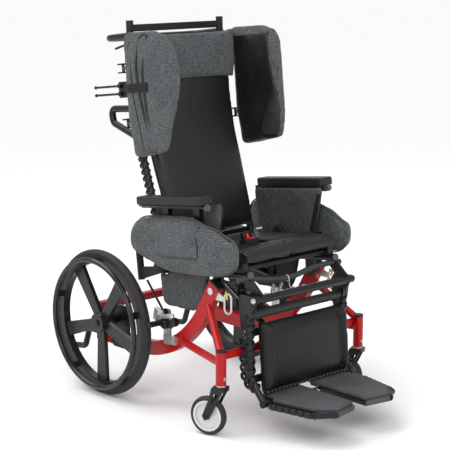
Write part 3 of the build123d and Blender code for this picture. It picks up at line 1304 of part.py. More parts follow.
def leg_side():
    """One side tube with its strap loops, hanger bracket and end hub."""
    x = LEG_SIDE_X
    points = leg_side_points()
    side = bent_rod([(x, y, z) for y, z in points], 16, LEG_SIDE_RADIUS)
    ends = ((points[1], points[2]), (points[2], points[3]))
    for (y0, z0), (y1, z1) in ends:
        run = sqrt((y1 - y0) ** 2 + (z1 - z0) ** 2)
        count = int((run - LEG_STRAP_HEIGHT) / LEG_STRAP_SPACING)
        for step in range(count):
            low = (step + 0.6) * LEG_STRAP_SPACING / run
            high = low + LEG_STRAP_HEIGHT / run
            start = (x, y0 + (y1 - y0) * low, z0 + (z1 - z0) * low)
            end = (x, y0 + (y1 - y0) * high, z0 + (z1 - z0) * high)
            side += rod(start, end, LEG_STRAP_RADIUS)
    hub_start = RAIL_X + LEG_EAR_THICKNESS / 2 + RUNNING_GAP
    side += cross_rod(hub_start, LEG_SIDE_X + LEG_SIDE_RADIUS, 0, 0, LEG_TUBE_RADIUS)
    hanger_outline = [(8, 12), (60, 16), (74, -2), (70, -96), (40, -104), (24, -60)]
    hanger = polygon(hanger_outline, LEG_SIDE_X - 12.5, LEG_SIDE_X + 12.5)
    foot_y, foot_z = points[-1]
    side += cross_rod(LEG_SIDE_X - 10, LEG_SIDE_X + 10, foot_y, foot_z, LEG_SIDE_RADIUS + 1)
    return side + hanger


def legrest_frame():
    """The legrest's cross tube, pivot pins, side tubes, pad bars and foot hinge rod."""
    inner = RAIL_X - LEG_EAR_THICKNESS / 2 - RUNNING_GAP
    frame = cross_rod(-inner, inner, 0, 0, LEG_TUBE_RADIUS)
    frame -= cross_rod(-inner + 20, inner - 20, 0, 0, LEG_TUBE_RADIUS - 2.5)
    frame += cross_rod(-LEG_SIDE_X, -inner + 12, 0, 0, LEG_PIN_RADIUS)
    frame += cross_rod(inner - 12, LEG_SIDE_X, 0, 0, LEG_PIN_RADIUS)
    side = leg_side()
    frame += side + mirror(side, about=Plane.YZ)
    rear = CALF_THICKNESS - CALF_FRONT
    for z in (-CALF_TOP - 34, -CALF_BOTTOM + 34):
        frame += block((-LEG_SIDE_X, LEG_SIDE_X), (rear, rear + 6), (z - 12, z + 12))
        for sign in SIDES.values():
            near, far = sign * (LEG_SIDE_X - 6), sign * (LEG_SIDE_X + 6)
            frame += block(sorted((near, far)), (rear, 46), (z - 12, z + 12))
    reach = LEG_SIDE_X
    return frame + cross_rod(-reach, reach, -FOOT_HINGE_FORWARD, -FOOT_HINGE_DOWN, FOOT_ROD_RADIUS)


def calf_pad():
    """The calf pad: a crowned panel with a thicker bolster down each side."""
    rear = CALF_THICKNESS - CALF_FRONT
    half = CALF_HALF_WIDTH
    inner = half - 44
    faces = []
    for share, size, crown in pad_stations():
        z = -CALF_TOP - (CALF_BOTTOM - CALF_TOP) * share
        front = rear - CALF_THICKNESS * size
        roll = front - CALF_BOLSTER * size + 2
        section = [
            Line((half - 4, rear), (-half + 4, rear)),
            ThreePointArc((-half + 4, rear), (-half, (rear + front) / 2), (-half + 8, front)),
            ThreePointArc((-half + 8, front), (-half + 24, roll), (-inner, front + 2)),
            ThreePointArc((-inner, front + 2), (0, front - 3), (inner, front + 2)),
            ThreePointArc((inner, front + 2), (half - 24, roll), (half - 8, front)),
            ThreePointArc((half - 8, front), (half, (rear + front) / 2), (half - 4, rear)),
        ]
        faces.append(Plane.XY.offset(z) * make_face(section))
    return loft(faces)


# Footplates, drawn level with their hinge at y = 0, z = 0; the left one
def foot_outline(rear, inset):
    """The footplate's outline (x, y) with a chamfered outer front corner."""
    front = -FOOT_LENGTH + inset
    return [
        (28 + inset, rear),
        (27 + inset, front + 18),
        (120, front),
        (190 - inset * 0.6, front + 50),
        (221 - inset, -26),
        (199 - inset, min(rear, -12) + 4),
        (199 - inset, rear),
    ]


def footplate():
    """The footplate with its hinge knuckles, and the pad bonded on top as a second piece."""
    plate_low = -FOOT_KNUCKLE_RADIUS
    plate = extrude(make_face(Polyline(*foot_outline(-12, 0), close=True)), FOOT_PLATE_THICKNESS)
    plate = Pos(0, 0, plate_low) * plate
    plate = fillet(plate.faces().sort_by(Axis.Z)[0].edges(), 3)
    for start in (40, 164):
        plate += cross_rod(start, start + 28, 0, 0, FOOT_KNUCKLE_RADIUS)
        plate += block((start, start + 28), (-16, 0), (plate_low, plate_low + FOOT_PLATE_THICKNESS - 4))
        plate -= cross_rod(start, start + 28, 0, 0, FOOT_ROD_RADIUS + PIN_SLIP)
    pad = extrude(make_face(Polyline(*foot_outline(FOOT_PAD_REAR, 2), close=True)), FOOT_PAD_THICKNESS)
    pad = Pos(0, 0, plate_low + FOOT_PLATE_THICKNESS) * pad
    pad = fillet(pad.faces().sort_by(Axis.Z)[-1].edges(), 4)
    return [plate, pad]


# All nodes
def base_parts():
    """The base's nodes by name."""
    parts = {}
    for name, side in SIDES.items():
        parts[f"curved_member_{name}"] = on_side(curved_member(), side)
        parts[f"castor_post_{name}"] = on_side(castor_post(), side)
        parts[f"rear_wheel_{name}"] = on_side(rear_wheel(), side)
        parts[f"rear_tyre_{name}"] = on_side(rear_tyre(), side)
        parts[f"handrim_{name}"] = on_side(handrim(), side)
        parts[f"castor_fork_{name}"] = castor_place(castor_fork(), side)
        parts[f"castor_wheel_{name}"] = castor_place(castor_wheel(), side)
        parts[f"castor_tyre_{name}"] = castor_place(castor_tyre(), side)
        parts[f"anti_tip_wheel_{name}"] = on_side(anti_tip_wheel(), side)
        parts[f"lock_lever_{name}"] = on_side(lock_lever(), side)
    parts["rear_cross_bar"] = rear_cross_bar()
    parts["front_cross_bar"] = front_cross_bar()
    parts["axle_plates"] = both(axle_plate())
    parts["rear_axles"] = both(rear_axle())
    parts["wheel_lock_brackets"] = both(lock_bracket())
    parts["tie_down_rings"] = both(tie_down_ring())
    parts["anti_tip_arms"] = both(anti_tip_arm())
    parts["frame_caps"] = both(post_cap()) + both(member_cap())
    parts["frame_bolts"] = both(pivot_pin()) + both(plate_bolt())
    return parts


def both(shape):
    """The left shape and its mirror image, as two pieces."""
    return [shape, mirror(shape, about=Plane.YZ)]


def plate_bolt():
    """The bolt head that holds the axle plate on the member."""
    start = MEMBER_OUT_X + AXLE_PLATE_THICKNESS
    return cross_rod(start, start + 6, AXLE_PLATE_Y, MEMBER_LEVEL_Z, 8)


def seat_parts():
    """The seat module's nodes by name, arms included."""
    parts = {
        "seat_frame": seat_frame(),
        "seat_cushion": seat_cushion(),
        "arm_sockets": arm_sockets(),
        "seat_belt": seat_belt(),
        "buckle_button": buckle_button(),
        "control_cables": control_cables(),
    }
    for name, side in SIDES.items():
        panel = side_panel() + side_bracket()
        parts[f"side_panel_{name}"] = [on_side(panel, side), on_side(skirt(), side)]
        parts[f"arm_frame_{name}"] = on_side(arm_frame(), side)
        parts[f"arm_pad_{name}"] = on_side(arm_pad(), side)
        parts[f"arm_panel_{name}"] = on_side(arm_panel(), side)
    return parts


def back_parts():
    """The back module's nodes by name."""
    parts = {
        "back_frame": back_frame(),
        "back_pad": back_pad(),
        "head_pillow": head_pillow(),
        "back_straps": back_straps(),
        "push_handles": push_handles(),
        "recline_lever": hand_lever("recline"),
        "tilt_lever": hand_lever("tilt"),
    }
    for name, side in SIDES.items():
        parts[f"head_wing_{name}"] = on_side(head_wing(), side)
    return parts


def gas_parts():
    """The two gas springs' nodes by name."""
    tilt_ends = (tilt_gas_base(), tilt_gas_seat())
    recline_ends = (recline_gas_seat(), recline_gas_back())
    return {
        "tilt_spring_tube": gas_tube(TILT_GAS_X, *tilt_ends, 0.55),
        "tilt_spring_rod": gas_rod(TILT_GAS_X, *tilt_ends, 0.55, TILT_GAS_PLAY),
        "recline_spring_tube": gas_tube(RECLINE_GAS_X, *recline_ends, 0.5),
        "recline_spring_rod": gas_rod(RECLINE_GAS_X, *recline_ends, 0.5, RECLINE_GAS_PLAY),
    }


def placed(parts, place):
    """The parts moved by one placement; a list of pieces stays a list."""
    moved = {}
    for name, shape in parts.items():
        moved[name] = [place * piece for piece in shape] if isinstance(shape, list) else place * shape
    return moved


def chair_parts():
    """Every node of the chair in the layout frame."""
    parts = base_parts()
    parts |= placed(seat_parts(), SEAT_PLACE)
    parts |= placed(back_parts(), BACK_PLACE)
    parts |= placed({"legrest_frame": legrest_frame(), "calf_pad": calf_pad()}, LEG_PLACE)
    left_foot = footplate()
    right_foot = [on_side(piece, -1) for piece in left_foot]
    parts |= placed({"footplate_left": left_foot, "footplate_right": right_foot}, FOOT_PLACE)
    parts |= gas_parts()
    return parts


def origin_shift(parts):
    """The move that puts the origin at the middle of the chair's base."""
    pieces = []
    for shape in parts.values():
        pieces += shape if isinstance(shape, list) else [shape]
    box = Compound(children=[Compound(piece.solids()) for piece in pieces]).bounding_box()
    return Pos(-(box.min.X + box.max.X) / 2, -(box.min.Y + box.max.Y) / 2, -box.min.Z)


def main():
    """Builds every node, moves it to the part's own origin and writes its STEP file."""
    os.makedirs("parts", exist_ok=True)
    parts = chair_parts()
    shift = origin_shift(parts)
    for name, shape in placed(parts, shift).items():
        pieces = shape if isinstance(shape, list) else [shape]
        solids = [solid for piece in pieces for solid in piece.solids()]
        node = solids[0] if len(solids) == 1 else Compound(solids)
        export_step(node, f"parts/{name}.step")


if __name__ == "__main__":
    main()
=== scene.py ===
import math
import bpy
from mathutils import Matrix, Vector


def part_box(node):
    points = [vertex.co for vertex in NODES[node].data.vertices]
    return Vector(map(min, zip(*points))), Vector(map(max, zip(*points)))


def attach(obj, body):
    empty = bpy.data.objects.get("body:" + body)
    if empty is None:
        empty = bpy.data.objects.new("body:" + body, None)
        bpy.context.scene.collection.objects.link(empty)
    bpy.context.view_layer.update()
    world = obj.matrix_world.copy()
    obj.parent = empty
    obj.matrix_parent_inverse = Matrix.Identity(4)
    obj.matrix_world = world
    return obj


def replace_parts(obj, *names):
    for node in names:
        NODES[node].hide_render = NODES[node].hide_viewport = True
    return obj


bl_info = {
    "name": "Tilt in space wheelchair",
    "version": (1, 0, 0),
    "blender": (4, 5, 0),
    "location": "3D View > Sidebar > Wheelchair",
    "description": "Upholstery, fittings, finishes and studio for a tilt in space wheelchair",
    "category": "Object",
}

import bpy
from mathutils import Matrix, Vector, noise
from mathutils.kdtree import KDTree

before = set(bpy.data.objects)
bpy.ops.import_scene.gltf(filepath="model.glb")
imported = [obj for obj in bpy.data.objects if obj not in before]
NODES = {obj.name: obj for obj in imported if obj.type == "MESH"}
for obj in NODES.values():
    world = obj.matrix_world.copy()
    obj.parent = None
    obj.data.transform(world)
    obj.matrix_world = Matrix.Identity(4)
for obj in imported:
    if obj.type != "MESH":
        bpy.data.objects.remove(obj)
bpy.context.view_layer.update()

SEAT = Matrix.Translation((0, -0.20267, 0.43988)) @ Matrix.Rotation(math.radians(-7), 4, "X")
BACK = SEAT @ Matrix.Translation((0, 0.274, 0.114))
LEG = SEAT @ Matrix.Translation((0, -0.175, -0.025)) @ Matrix.Rotation(math.radians(2.1), 4, "X")
FOOT = LEG @ Matrix.Translation((0, -0.007, -0.334)) @ Matrix.Rotation(math.radians(4.9), 4, "X")
FLOOR = Matrix.Identity(4)
SIDES = {"left": 1, "right": -1}
CLOTH_STEPS = 20
KEPT_SHARE = 0.15
THREAD = 0.0005


# Sizes and colours that a user may change
class ChairColours(bpy.types.PropertyGroup):
    """Colours of the paint and the covers."""

    paint: bpy.props.FloatVectorProperty(
        name="Base paint", description="Powder coat of the base",
        subtype="COLOR", size=3, min=0, max=1, default=(0.42, 0.005, 0.006),
    )
    cloth: bpy.props.FloatVectorProperty(
        name="Cloth", description="Middle tone of the heathered cloth",
        subtype="COLOR", size=3, min=0, max=1, default=(0.112, 0.120, 0.124),
    )
    cloth_blue: bpy.props.FloatVectorProperty(
        name="Cool thread", description="Cooler thread in the cloth",
        subtype="COLOR", size=3, min=0, max=1, default=(0.082, 0.112, 0.126),
    )
    cloth_brown: bpy.props.FloatVectorProperty(
        name="Warm thread", description="Warmer thread in the cloth",
        subtype="COLOR", size=3, min=0, max=1, default=(0.158, 0.142, 0.126),
    )
    vinyl: bpy.props.FloatVectorProperty(
        name="Vinyl", description="Cover of the cushion and pads",
        subtype="COLOR", size=3, min=0, max=1, default=(0.0085, 0.0085, 0.0098),
    )
    foot_pad: bpy.props.FloatVectorProperty(
        name="Foot pad", description="Soft pad on the footplates",
        subtype="COLOR", size=3, min=0, max=1, default=(0.058, 0.062, 0.066),
    )


class ChairSizes(bpy.types.PropertyGroup):
    """Sizes of the covers and trims."""

    piping: bpy.props.FloatProperty(
        name="Piping", description="Radius of the piping on the panels",
        unit="LENGTH", min=0.001, max=0.006, default=0.0028,
    )
    voxel: bpy.props.FloatProperty(
        name="Pad detail", description="Edge length of the pads' mesh",
        unit="LENGTH", min=0.003, max=0.012, default=0.0055,
    )
    check: bpy.props.FloatProperty(
        name="Cloth check", description="Pitch of the check in the cloth",
        unit="LENGTH", min=0.002, max=0.02, default=0.0078,
    )
    tread: bpy.props.FloatProperty(
        name="Tread depth", description="Depth of the grooves in the rear tyres",
        unit="LENGTH", min=0.0004, max=0.003, default=0.0012,
    )


# Object handling
def alone(piece):
    """Makes one object the only selected and the active one, in object mode."""
    active = bpy.context.view_layer.objects.active
    if active is not None and active.mode != "OBJECT":
        bpy.ops.object.mode_set(mode="OBJECT")
    bpy.ops.object.select_all(action="DESELECT")
    piece.select_set(True)
    bpy.context.view_layer.objects.active = piece
    return piece


def named(piece, name):
    """Gives the object and its mesh one name."""
    piece.name = name
    piece.data.name = name
    return piece


def apply_all(piece):
    """Applies every modifier in order."""
    alone(piece)
    for modifier in list(piece.modifiers):
        bpy.ops.object.modifier_apply(modifier=modifier.name)
    return piece


def settle(piece, place=FLOOR):
    """Puts the piece's place into its mesh, in the module's own frame and then in the chair's."""
    alone(piece)
    bpy.ops.object.transform_apply(location=True, rotation=True, scale=True)
    piece.data.transform(place)
    piece.data.update()
    return piece


def smooth(piece, angle=40):
    """Shades the piece smooth up to an angle."""
    alone(piece)
    bpy.ops.object.shade_smooth_by_angle(angle=math.radians(angle), keep_sharp_edges=False)
    return piece


def opened(piece, action="SELECT"):
    """Opens a piece in edit mode with all of it selected, or none of it."""
    alone(piece)
    bpy.ops.object.mode_set(mode="EDIT")
    bpy.ops.mesh.select_all(action=action)


def outward(piece):
    """Merges doubled points and turns all faces outwards."""
    opened(piece)
    bpy.ops.mesh.remove_doubles(threshold=0.00002)
    bpy.ops.mesh.normals_make_consistent(inside=False)
    bpy.ops.object.mode_set(mode="OBJECT")
    return piece


def joined(name, pieces):
    """Joins several pieces into one."""
    alone(pieces[0])
    for piece in pieces[1:]:
        piece.select_set(True)
    if len(pieces) > 1:
        bpy.ops.object.join()
    return named(bpy.context.object, name)


def rounded(piece, width, steps=3, by_angle=False):
    """Rounds a piece's edges, all of them or only the sharp ones."""
    if not width:
        return piece
    rounding = piece.modifiers.new("edges", "BEVEL")
    rounding.width = width
    rounding.segments = steps
    rounding.limit_method = "ANGLE" if by_angle else rounding.limit_method
    return apply_all(piece)


def slab(name, size, middle, bevel=0.0, steps=3, place=FLOOR, turn=(0, 0, 0)):
    """A block with rounded edges."""
    bpy.ops.mesh.primitive_cube_add(size=1, location=middle, rotation=turn)
    piece = named(bpy.context.object, name)
    piece.scale = size
    alone(piece)
    bpy.ops.object.transform_apply(location=False, rotation=False, scale=True)
    return smooth(settle(rounded(piece, bevel, steps), place))


def round_bar(name, start, end, radius, bevel=0.0, sides=32, place=FLOOR):
    """A round bar between two points, with its end edges rounded."""
    start, end = Vector(start), Vector(end)
    run = end - start
    turn = run.to_track_quat("Z", "Y").to_euler()
    bpy.ops.mesh.primitive_cylinder_add(
        vertices=sides, radius=radius, depth=run.length, location=(start + end) / 2, rotation=turn
    )
    piece = rounded(named(bpy.context.object, name), bevel, by_angle=True)
    return smooth(settle(piece, place))


def line(name, points, radius, closed=False, place=FLOOR, sides=3, resolution=8):
    """A round cord along a smooth line through points."""
    curve = bpy.data.curves.new(name, "CURVE")
    curve.dimensions = "3D"
    curve.resolution_u = resolution
    curve.use_fill_caps = not closed
    curve.bevel_depth = radius
    curve.bevel_resolution = sides
    run = curve.splines.new("NURBS")
    run.points.add(len(points) - 1)
    for spot, point in zip(run.points, points):
        spot.co = (*point, 1)
    run.order_u = 3
    run.use_endpoint_u = not closed
    run.use_cyclic_u = closed
    piece = bpy.data.objects.new(name, curve)
    bpy.context.scene.collection.objects.link(piece)
    alone(piece)
    bpy.ops.object.convert(target="MESH")
    piece = named(bpy.context.object, name)
    return smooth(settle(outward(piece), place))


def bolt(name, at, direction, radius=0.006, height=0.004, place=FLOOR):
    """A domed bolt head with a round socket."""
    at, direction = Vector(at), Vector(direction).normalized()
    turn = direction.to_track_quat("Z", "Y").to_euler()
    middle = at + direction * height / 2
    bpy.ops.mesh.primitive_cylinder_add(
        vertices=24, radius=radius, depth=height, location=middle, rotation=turn
    )
    piece = named(bpy.context.object, name)
    opened(piece, "DESELECT")
    bpy.ops.object.mode_set(mode="OBJECT")
    for face in piece.data.polygons:
        face.select = face.normal.z > 0.9
    bpy.ops.object.mode_set(mode="EDIT")
    bpy.ops.mesh.select_mode(type="FACE")
    bpy.ops.mesh.inset(thickness=radius * 0.28)
    bpy.ops.transform.translate(value=direction * height * 0.25)
    bpy.ops.mesh.inset(thickness=radius * 0.24)
    bpy.ops.mesh.extrude_region_move(TRANSFORM_OT_translate={"value": -direction * height * 0.5})
    bpy.ops.object.mode_set(mode="OBJECT")
    return smooth(settle(piece, place), 30)


def node_copy(node, name, pieces=None):
    """A merged copy of a node's mesh; pieces picks loose solids by a test on their middle."""
    mesh = NODES[node].data.copy()
    mesh.materials.clear()
    piece = bpy.data.objects.new(name, mesh)
    bpy.context.scene.collection.objects.link(piece)
    named(outward(piece), name)
    if pieces is None:
        return piece
    opened(piece)
    bpy.ops.mesh.separate(type="LOOSE")
    bpy.ops.object.mode_set(mode="OBJECT")
    kept = []
    for part in list(bpy.context.selected_objects):
        spots = [vertex.co for vertex in part.data.vertices]
        middle = sum(spots, Vector()) / len(spots)
        if pieces(middle):
            kept.append(part)
        else:
            bpy.data.objects.remove(part)
    return joined(name, kept)


def swollen(piece, pressure=4.0, cap=0.008, shrink=0.002, voxel=None, keep=None):
    """Blows the piece up like a stuffed cover: remesh, a short cloth run and a limit on each point's move.

    Where keep(point) is true, the cloth stays close to its form.
    """
    size = voxel or bpy.context.scene.chair_sizes.voxel
    opened(piece)
    bpy.ops.transform.shrink_fatten(value=-shrink)
    bpy.ops.object.mode_set(mode="OBJECT")
    grid = piece.modifiers.new("grid", "REMESH")
    grid.mode = "VOXEL"
    grid.voxel_size = size
    grid.use_smooth_shade = True
    apply_all(piece)
    ease = piece.modifiers.new("ease", "SMOOTH")
    ease.factor = 0.5
    ease.iterations = 6
    apply_all(piece)
    before = [vertex.co.copy() for vertex in piece.data.vertices]
    cover = piece.modifiers.new("cover", "CLOTH")
    cover.settings.effector_weights.gravity = 0
    cover.settings.use_pressure = True
    cover.settings.uniform_pressure_force = pressure
    cover.settings.quality = 4
    cover.settings.tension_stiffness = 15
    cover.settings.bending_stiffness = 0.5
    scene = bpy.context.scene
    for step in range(1, CLOTH_STEPS + 1):
        scene.frame_set(step)
    apply_all(piece)
    scene.frame_set(1)
    for vertex, rest in zip(piece.data.vertices, before):
        move = vertex.co - rest
        if keep is not None and keep(rest):
            move *= KEPT_SHARE
        if move.length > cap:
            move = move.normalized() * cap
        vertex.co = rest + move
    piece.data.update()
    finer = piece.modifiers.new("finer", "SUBSURF")
    finer.levels = finer.render_levels = 1
    apply_all(piece)
    bpy.ops.object.shade_smooth()
    return piece


def local_of(place, point):
    """A chair point in a module's own frame."""
    return place.inverted() @ point


def reshaped(piece, place, move):
    """Moves each point of the piece by a rule given in the module's own frame."""
    back = place.inverted()
    for vertex in piece.data.vertices:
        vertex.co = place @ move(back @ vertex.co)
    piece.data.update()
    return piece


def ramp(value, low, high):
    """A smooth step from 0 at low to 1 at high."""
    share = min(1.0, max(0.0, (value - low) / (high - low)))
    return share * share * (3 - 2 * share)


def along(route, value):
    """The second number of a line of pairs where its first number is value."""
    for (low, start), (high, end) in zip(route, route[1:]):
        if value <= high:
            return start + (end - start) * max(0.0, (value - low) / (high - low))
    return route[-1][1]


def laid_on(piece, place, points, proud=0.0008, inside=False):
    """Points moved sideways on to the piece's outer or inner face, a little proud of it.

    A point just off the soft outline is drawn towards the piece's middle until it lies on the face.
    """
    bpy.context.view_layer.update()
    middle = place.inverted() @ (sum((Vector(corner) for corner in piece.bound_box), Vector()) / 8)
    laid = []
    for x, y, z in points:
        side = 1 if x > 0 else -1
        way = place.to_3x3() @ Vector((side if inside else -side, 0, 0))
        for step in range(10):
            share = step * 0.015
            start = (side * (0.15 if inside else 0.45), y + (middle.y - y) * share, z + (middle.z - z) * share)
            hit, spot, _, _ = piece.ray_cast(place @ Vector(start), way)
            if hit:
                break
        else:
            raise RuntimeError(f"{piece.name} has no face near {y}, {z}")
        laid.append(tuple(place.inverted() @ (spot - way * proud)))
    return laid


def stepped(points, pitch):
    """Evenly spaced points and directions along straight runs."""
    spots, left = [], 0.0
    for start, end in zip(points, points[1:]):
        start, end = Vector(start), Vector(end)
        run = (end - start).length
        while left < run:
            spots.append((start.lerp(end, left / run), (end - start).normalized()))
            left += pitch
        left -= run
    return spots


def stitches(name, points, pitch=0.0045, place=FLOOR):
    """A row of sewn stitches, one small rounded thread copied along the line."""
    bpy.ops.mesh.primitive_cylinder_add(vertices=6, radius=THREAD, depth=pitch * 0.72)
    first = rounded(bpy.context.object, 0.0002, 1, True)
    made = []
    for spot, way in stepped(points, pitch):
        thread = bpy.data.objects.new(name, first.data.copy())
        thread.data.transform(Matrix.Translation(spot) @ way.to_track_quat("Z", "Y").to_matrix().to_4x4())
        bpy.context.scene.collection.objects.link(thread)
        made.append(thread)
    bpy.data.objects.remove(first)
    return smooth(settle(joined(name, made), place))


def wound(name, route, radius, pitch, thickness, place=FLOOR, phase=0.0, slack=0.0):
    """A cord wound round a tube whose centre line runs through points in one plane of constant x."""
    spots = []
    for index, (spot, way) in enumerate(stepped(route, pitch / 8)):
        turn = phase + index * math.pi / 4
        across = Vector((1, 0, 0))
        rear = way.cross(across)
        outwards = math.sin(turn) * (-1 if rear.y < 0 else 1)
        reach = radius + slack * max(0.0, outwards)
        spots.append(tuple(spot + across * math.cos(turn) * radius + rear * math.sin(turn) * reach))
    return line(name, spots, thickness, place=place, sides=2, resolution=3)


def pressed_in(piece, distance, depth, width):
    """Presses a sewn channel into the cover where distance(point) is small."""
    for vertex in piece.data.vertices:
        away = abs(distance(vertex.co))
        if away < width:
            share = 0.5 + 0.5 * math.cos(math.pi * away / width)
            vertex.co -= vertex.normal * depth * share
    piece.data.update()
    return piece


# Shader building
def fed(tree, socket, value):
    """Links a socket into an input, or sets its number or colour."""
    if isinstance(value, bpy.types.NodeSocket):
        tree.links.new(value, socket)
    else:
        socket.default_value = value


def add(tree, kind, settings=None, **inputs):
    """One shader node with settings and input values or links."""
    made = tree.nodes.new(kind)
    for key, value in (settings or {}).items():
        setattr(made, key, value)
    for key, value in inputs.items():
        numbered = key[0] == "i" and key[1:].isdigit()
        fed(tree, made.inputs[int(key[1:]) if numbered else key.replace("_", " ")], value)
    return made


def maths(tree, operation, first, second=0.0):
    """One arithmetic node's value."""
    return add(tree, "ShaderNodeMath", {"operation": operation}, i0=first, i1=second).outputs[0]


def times(tree, first, second):
    """The product of two values."""
    return maths(tree, "MULTIPLY", first, second)


def plus(tree, first, second):
    """The sum of two values."""
    return maths(tree, "ADD", first, second)


def clouded(tree, where, scale, detail, **more):
    """A noise pattern's value."""
    return add(tree, "ShaderNodeTexNoise", Vector=where, Scale=scale, Detail=detail, **more).outputs["Fac"]


def mixed(tree, share, first, second):
    """Two colours mixed by a share."""
    made = add(tree, "ShaderNodeMix", {"data_type": "RGBA"})
    for index, value in ((0, share), (6, first), (7, second)):
        fed(tree, made.inputs[index], value)
    return made.outputs[2]


def spread(tree, value, low, high, to_low=0.0, to_high=1.0):
    """A value stretched from one range to another and held there."""
    return add(
        tree, "ShaderNodeMapRange", {"clamp": True}, i0=value, i1=low, i2=high, i3=to_low, i4=to_high
    ).outputs[0]


def new_group(name, inputs):
    """An empty shader group with named inputs that puts out a colour, a height and a roughness."""
    group = bpy.data.node_groups.new(name, "ShaderNodeTree")
    for label, kind, value in inputs:
        socket = group.interface.new_socket(name=label, in_out="INPUT", socket_type=kind)
        if value is not None:
            socket.default_value = value
    for label, kind in (("Colour", COLOUR), ("Height", FLOAT), ("Roughness", FLOAT)):
        group.interface.new_socket(name=label, in_out="OUTPUT", socket_type=kind)
    return group, group.nodes.new("NodeGroupInput"), group.nodes.new("NodeGroupOutput")


FLOAT, COLOUR = "NodeSocketFloat", "NodeSocketColor"


def woven_group():
    """Heathered cloth: cool, warm, dark and pale threads both ways, a loose check and the threads' height."""
    group, enter, leave = new_group(
        "Woven cloth",
        [("Middle", COLOUR, None), ("Cool", COLOUR, None), ("Warm", COLOUR, None), ("Pitch", FLOAT, 0.009)],
    )
    where = add(group, "ShaderNodeTexCoord").outputs["Object"]
    axes = add(group, "ShaderNodeSeparateXYZ", Vector=where)
    across = plus(group, maths(group, "ABSOLUTE", axes.outputs[0]), axes.outputs[1])
    up = axes.outputs[2]
    threads = []
    for run, other, shift in ((across, up, 0.0), (up, across, 5.0)):
        fine, coarse = times(group, run, 400.0), times(group, other, 56.0)
        spot = add(group, "ShaderNodeCombineXYZ", X=fine, Y=coarse, Z=shift).outputs[0]
        threads.append(clouded(group, spot, 1.0, 3.0))
    upright, level = threads
    colour = mixed(group, spread(group, upright, 0.50, 0.60), enter.outputs["Middle"], enter.outputs["Cool"])
    colour = mixed(group, spread(group, level, 0.54, 0.64), colour, enter.outputs["Warm"])
    turn = maths(group, "DIVIDE", 2 * math.pi, enter.outputs["Pitch"])
    lines = []
    for run, thread in ((across, level), (up, upright)):
        wave = maths(group, "SINE", times(group, run, turn))
        broken = spread(group, thread, 0.40, 0.56, 0.35, 1.0)
        lines.append(times(group, spread(group, wave, 0.25, 0.9), broken))
    check = maths(group, "MAXIMUM", lines[0], lines[1])
    gaps = maths(group, "MAXIMUM", spread(group, upright, 0.47, 0.36), spread(group, level, 0.47, 0.36))
    dark = maths(group, "MAXIMUM", times(group, check, 0.72), times(group, gaps, 0.8))
    colour = mixed(group, dark, colour, (0.020, 0.023, 0.026, 1))
    pale = times(group, spread(group, plus(group, upright, level), 1.08, 1.26), 0.22)
    colour = mixed(group, pale, colour, (0.36, 0.36, 0.35, 1))
    broad = clouded(group, where, 11.0, 3.0)
    colour = mixed(group, spread(group, broad, 0.35, 0.7, 0.0, 0.16), colour, (0.20, 0.205, 0.21, 1))
    fine = maths(group, "DIVIDE", 2 * math.pi, 0.0017)
    yarn = [maths(group, "SINE", times(group, run, fine)) for run in (across, up)]
    height = times(group, times(group, yarn[0], yarn[1]), 0.4)
    height = plus(group, height, times(group, dark, -0.5))
    group.links.new(colour, leave.inputs["Colour"])
    group.links.new(height, leave.inputs["Height"])
    group.links.new(spread(group, upright, 0.3, 0.7, 0.86, 0.98), leave.inputs["Roughness"])
    return group


def grain_group():
    """Leather or moulded grain: cells, fine noise, broad creases and a soft unevenness of tone."""
    group, enter, leave = new_group(
        "Surface grain",
        [("Colour", COLOUR, None), ("Cell size", FLOAT, 700.0), ("Tone", FLOAT, 0.2), ("Roughness", FLOAT, 0.5),
         ("Creases", FLOAT, 0.0)],
    )
    where = add(group, "ShaderNodeTexCoord").outputs["Object"]
    cells = add(group, "ShaderNodeTexVoronoi", {"feature": "DISTANCE_TO_EDGE"}, Vector=where,
                Scale=enter.outputs["Cell size"]).outputs[0]
    creases = spread(group, cells, 0.0, 0.09)
    broad = clouded(group, where, 9.0, 4.0)
    lift = times(group, spread(group, broad, 0.3, 0.7), enter.outputs["Tone"])
    brighter = add(group, "ShaderNodeVectorMath", {"operation": "SCALE"}, Vector=enter.outputs["Colour"],
                   Scale=1.9).outputs[0]
    group.links.new(mixed(group, lift, enter.outputs["Colour"], brighter), leave.inputs["Colour"])
    fine = clouded(group, where, 340.0, 3.0)
    folds = clouded(group, where, 13.0, 2.0, Distortion=1.6)
    height = plus(group, times(group, creases, 0.7), times(group, fine, 0.3))
    height = plus(group, height, times(group, folds, enter.outputs["Creases"]))
    group.links.new(height, leave.inputs["Height"])
    rough = plus(group, enter.outputs["Roughness"], spread(group, broad, 0.3, 0.7, -0.06, 0.07))
    group.links.new(rough, leave.inputs["Roughness"])
    return group


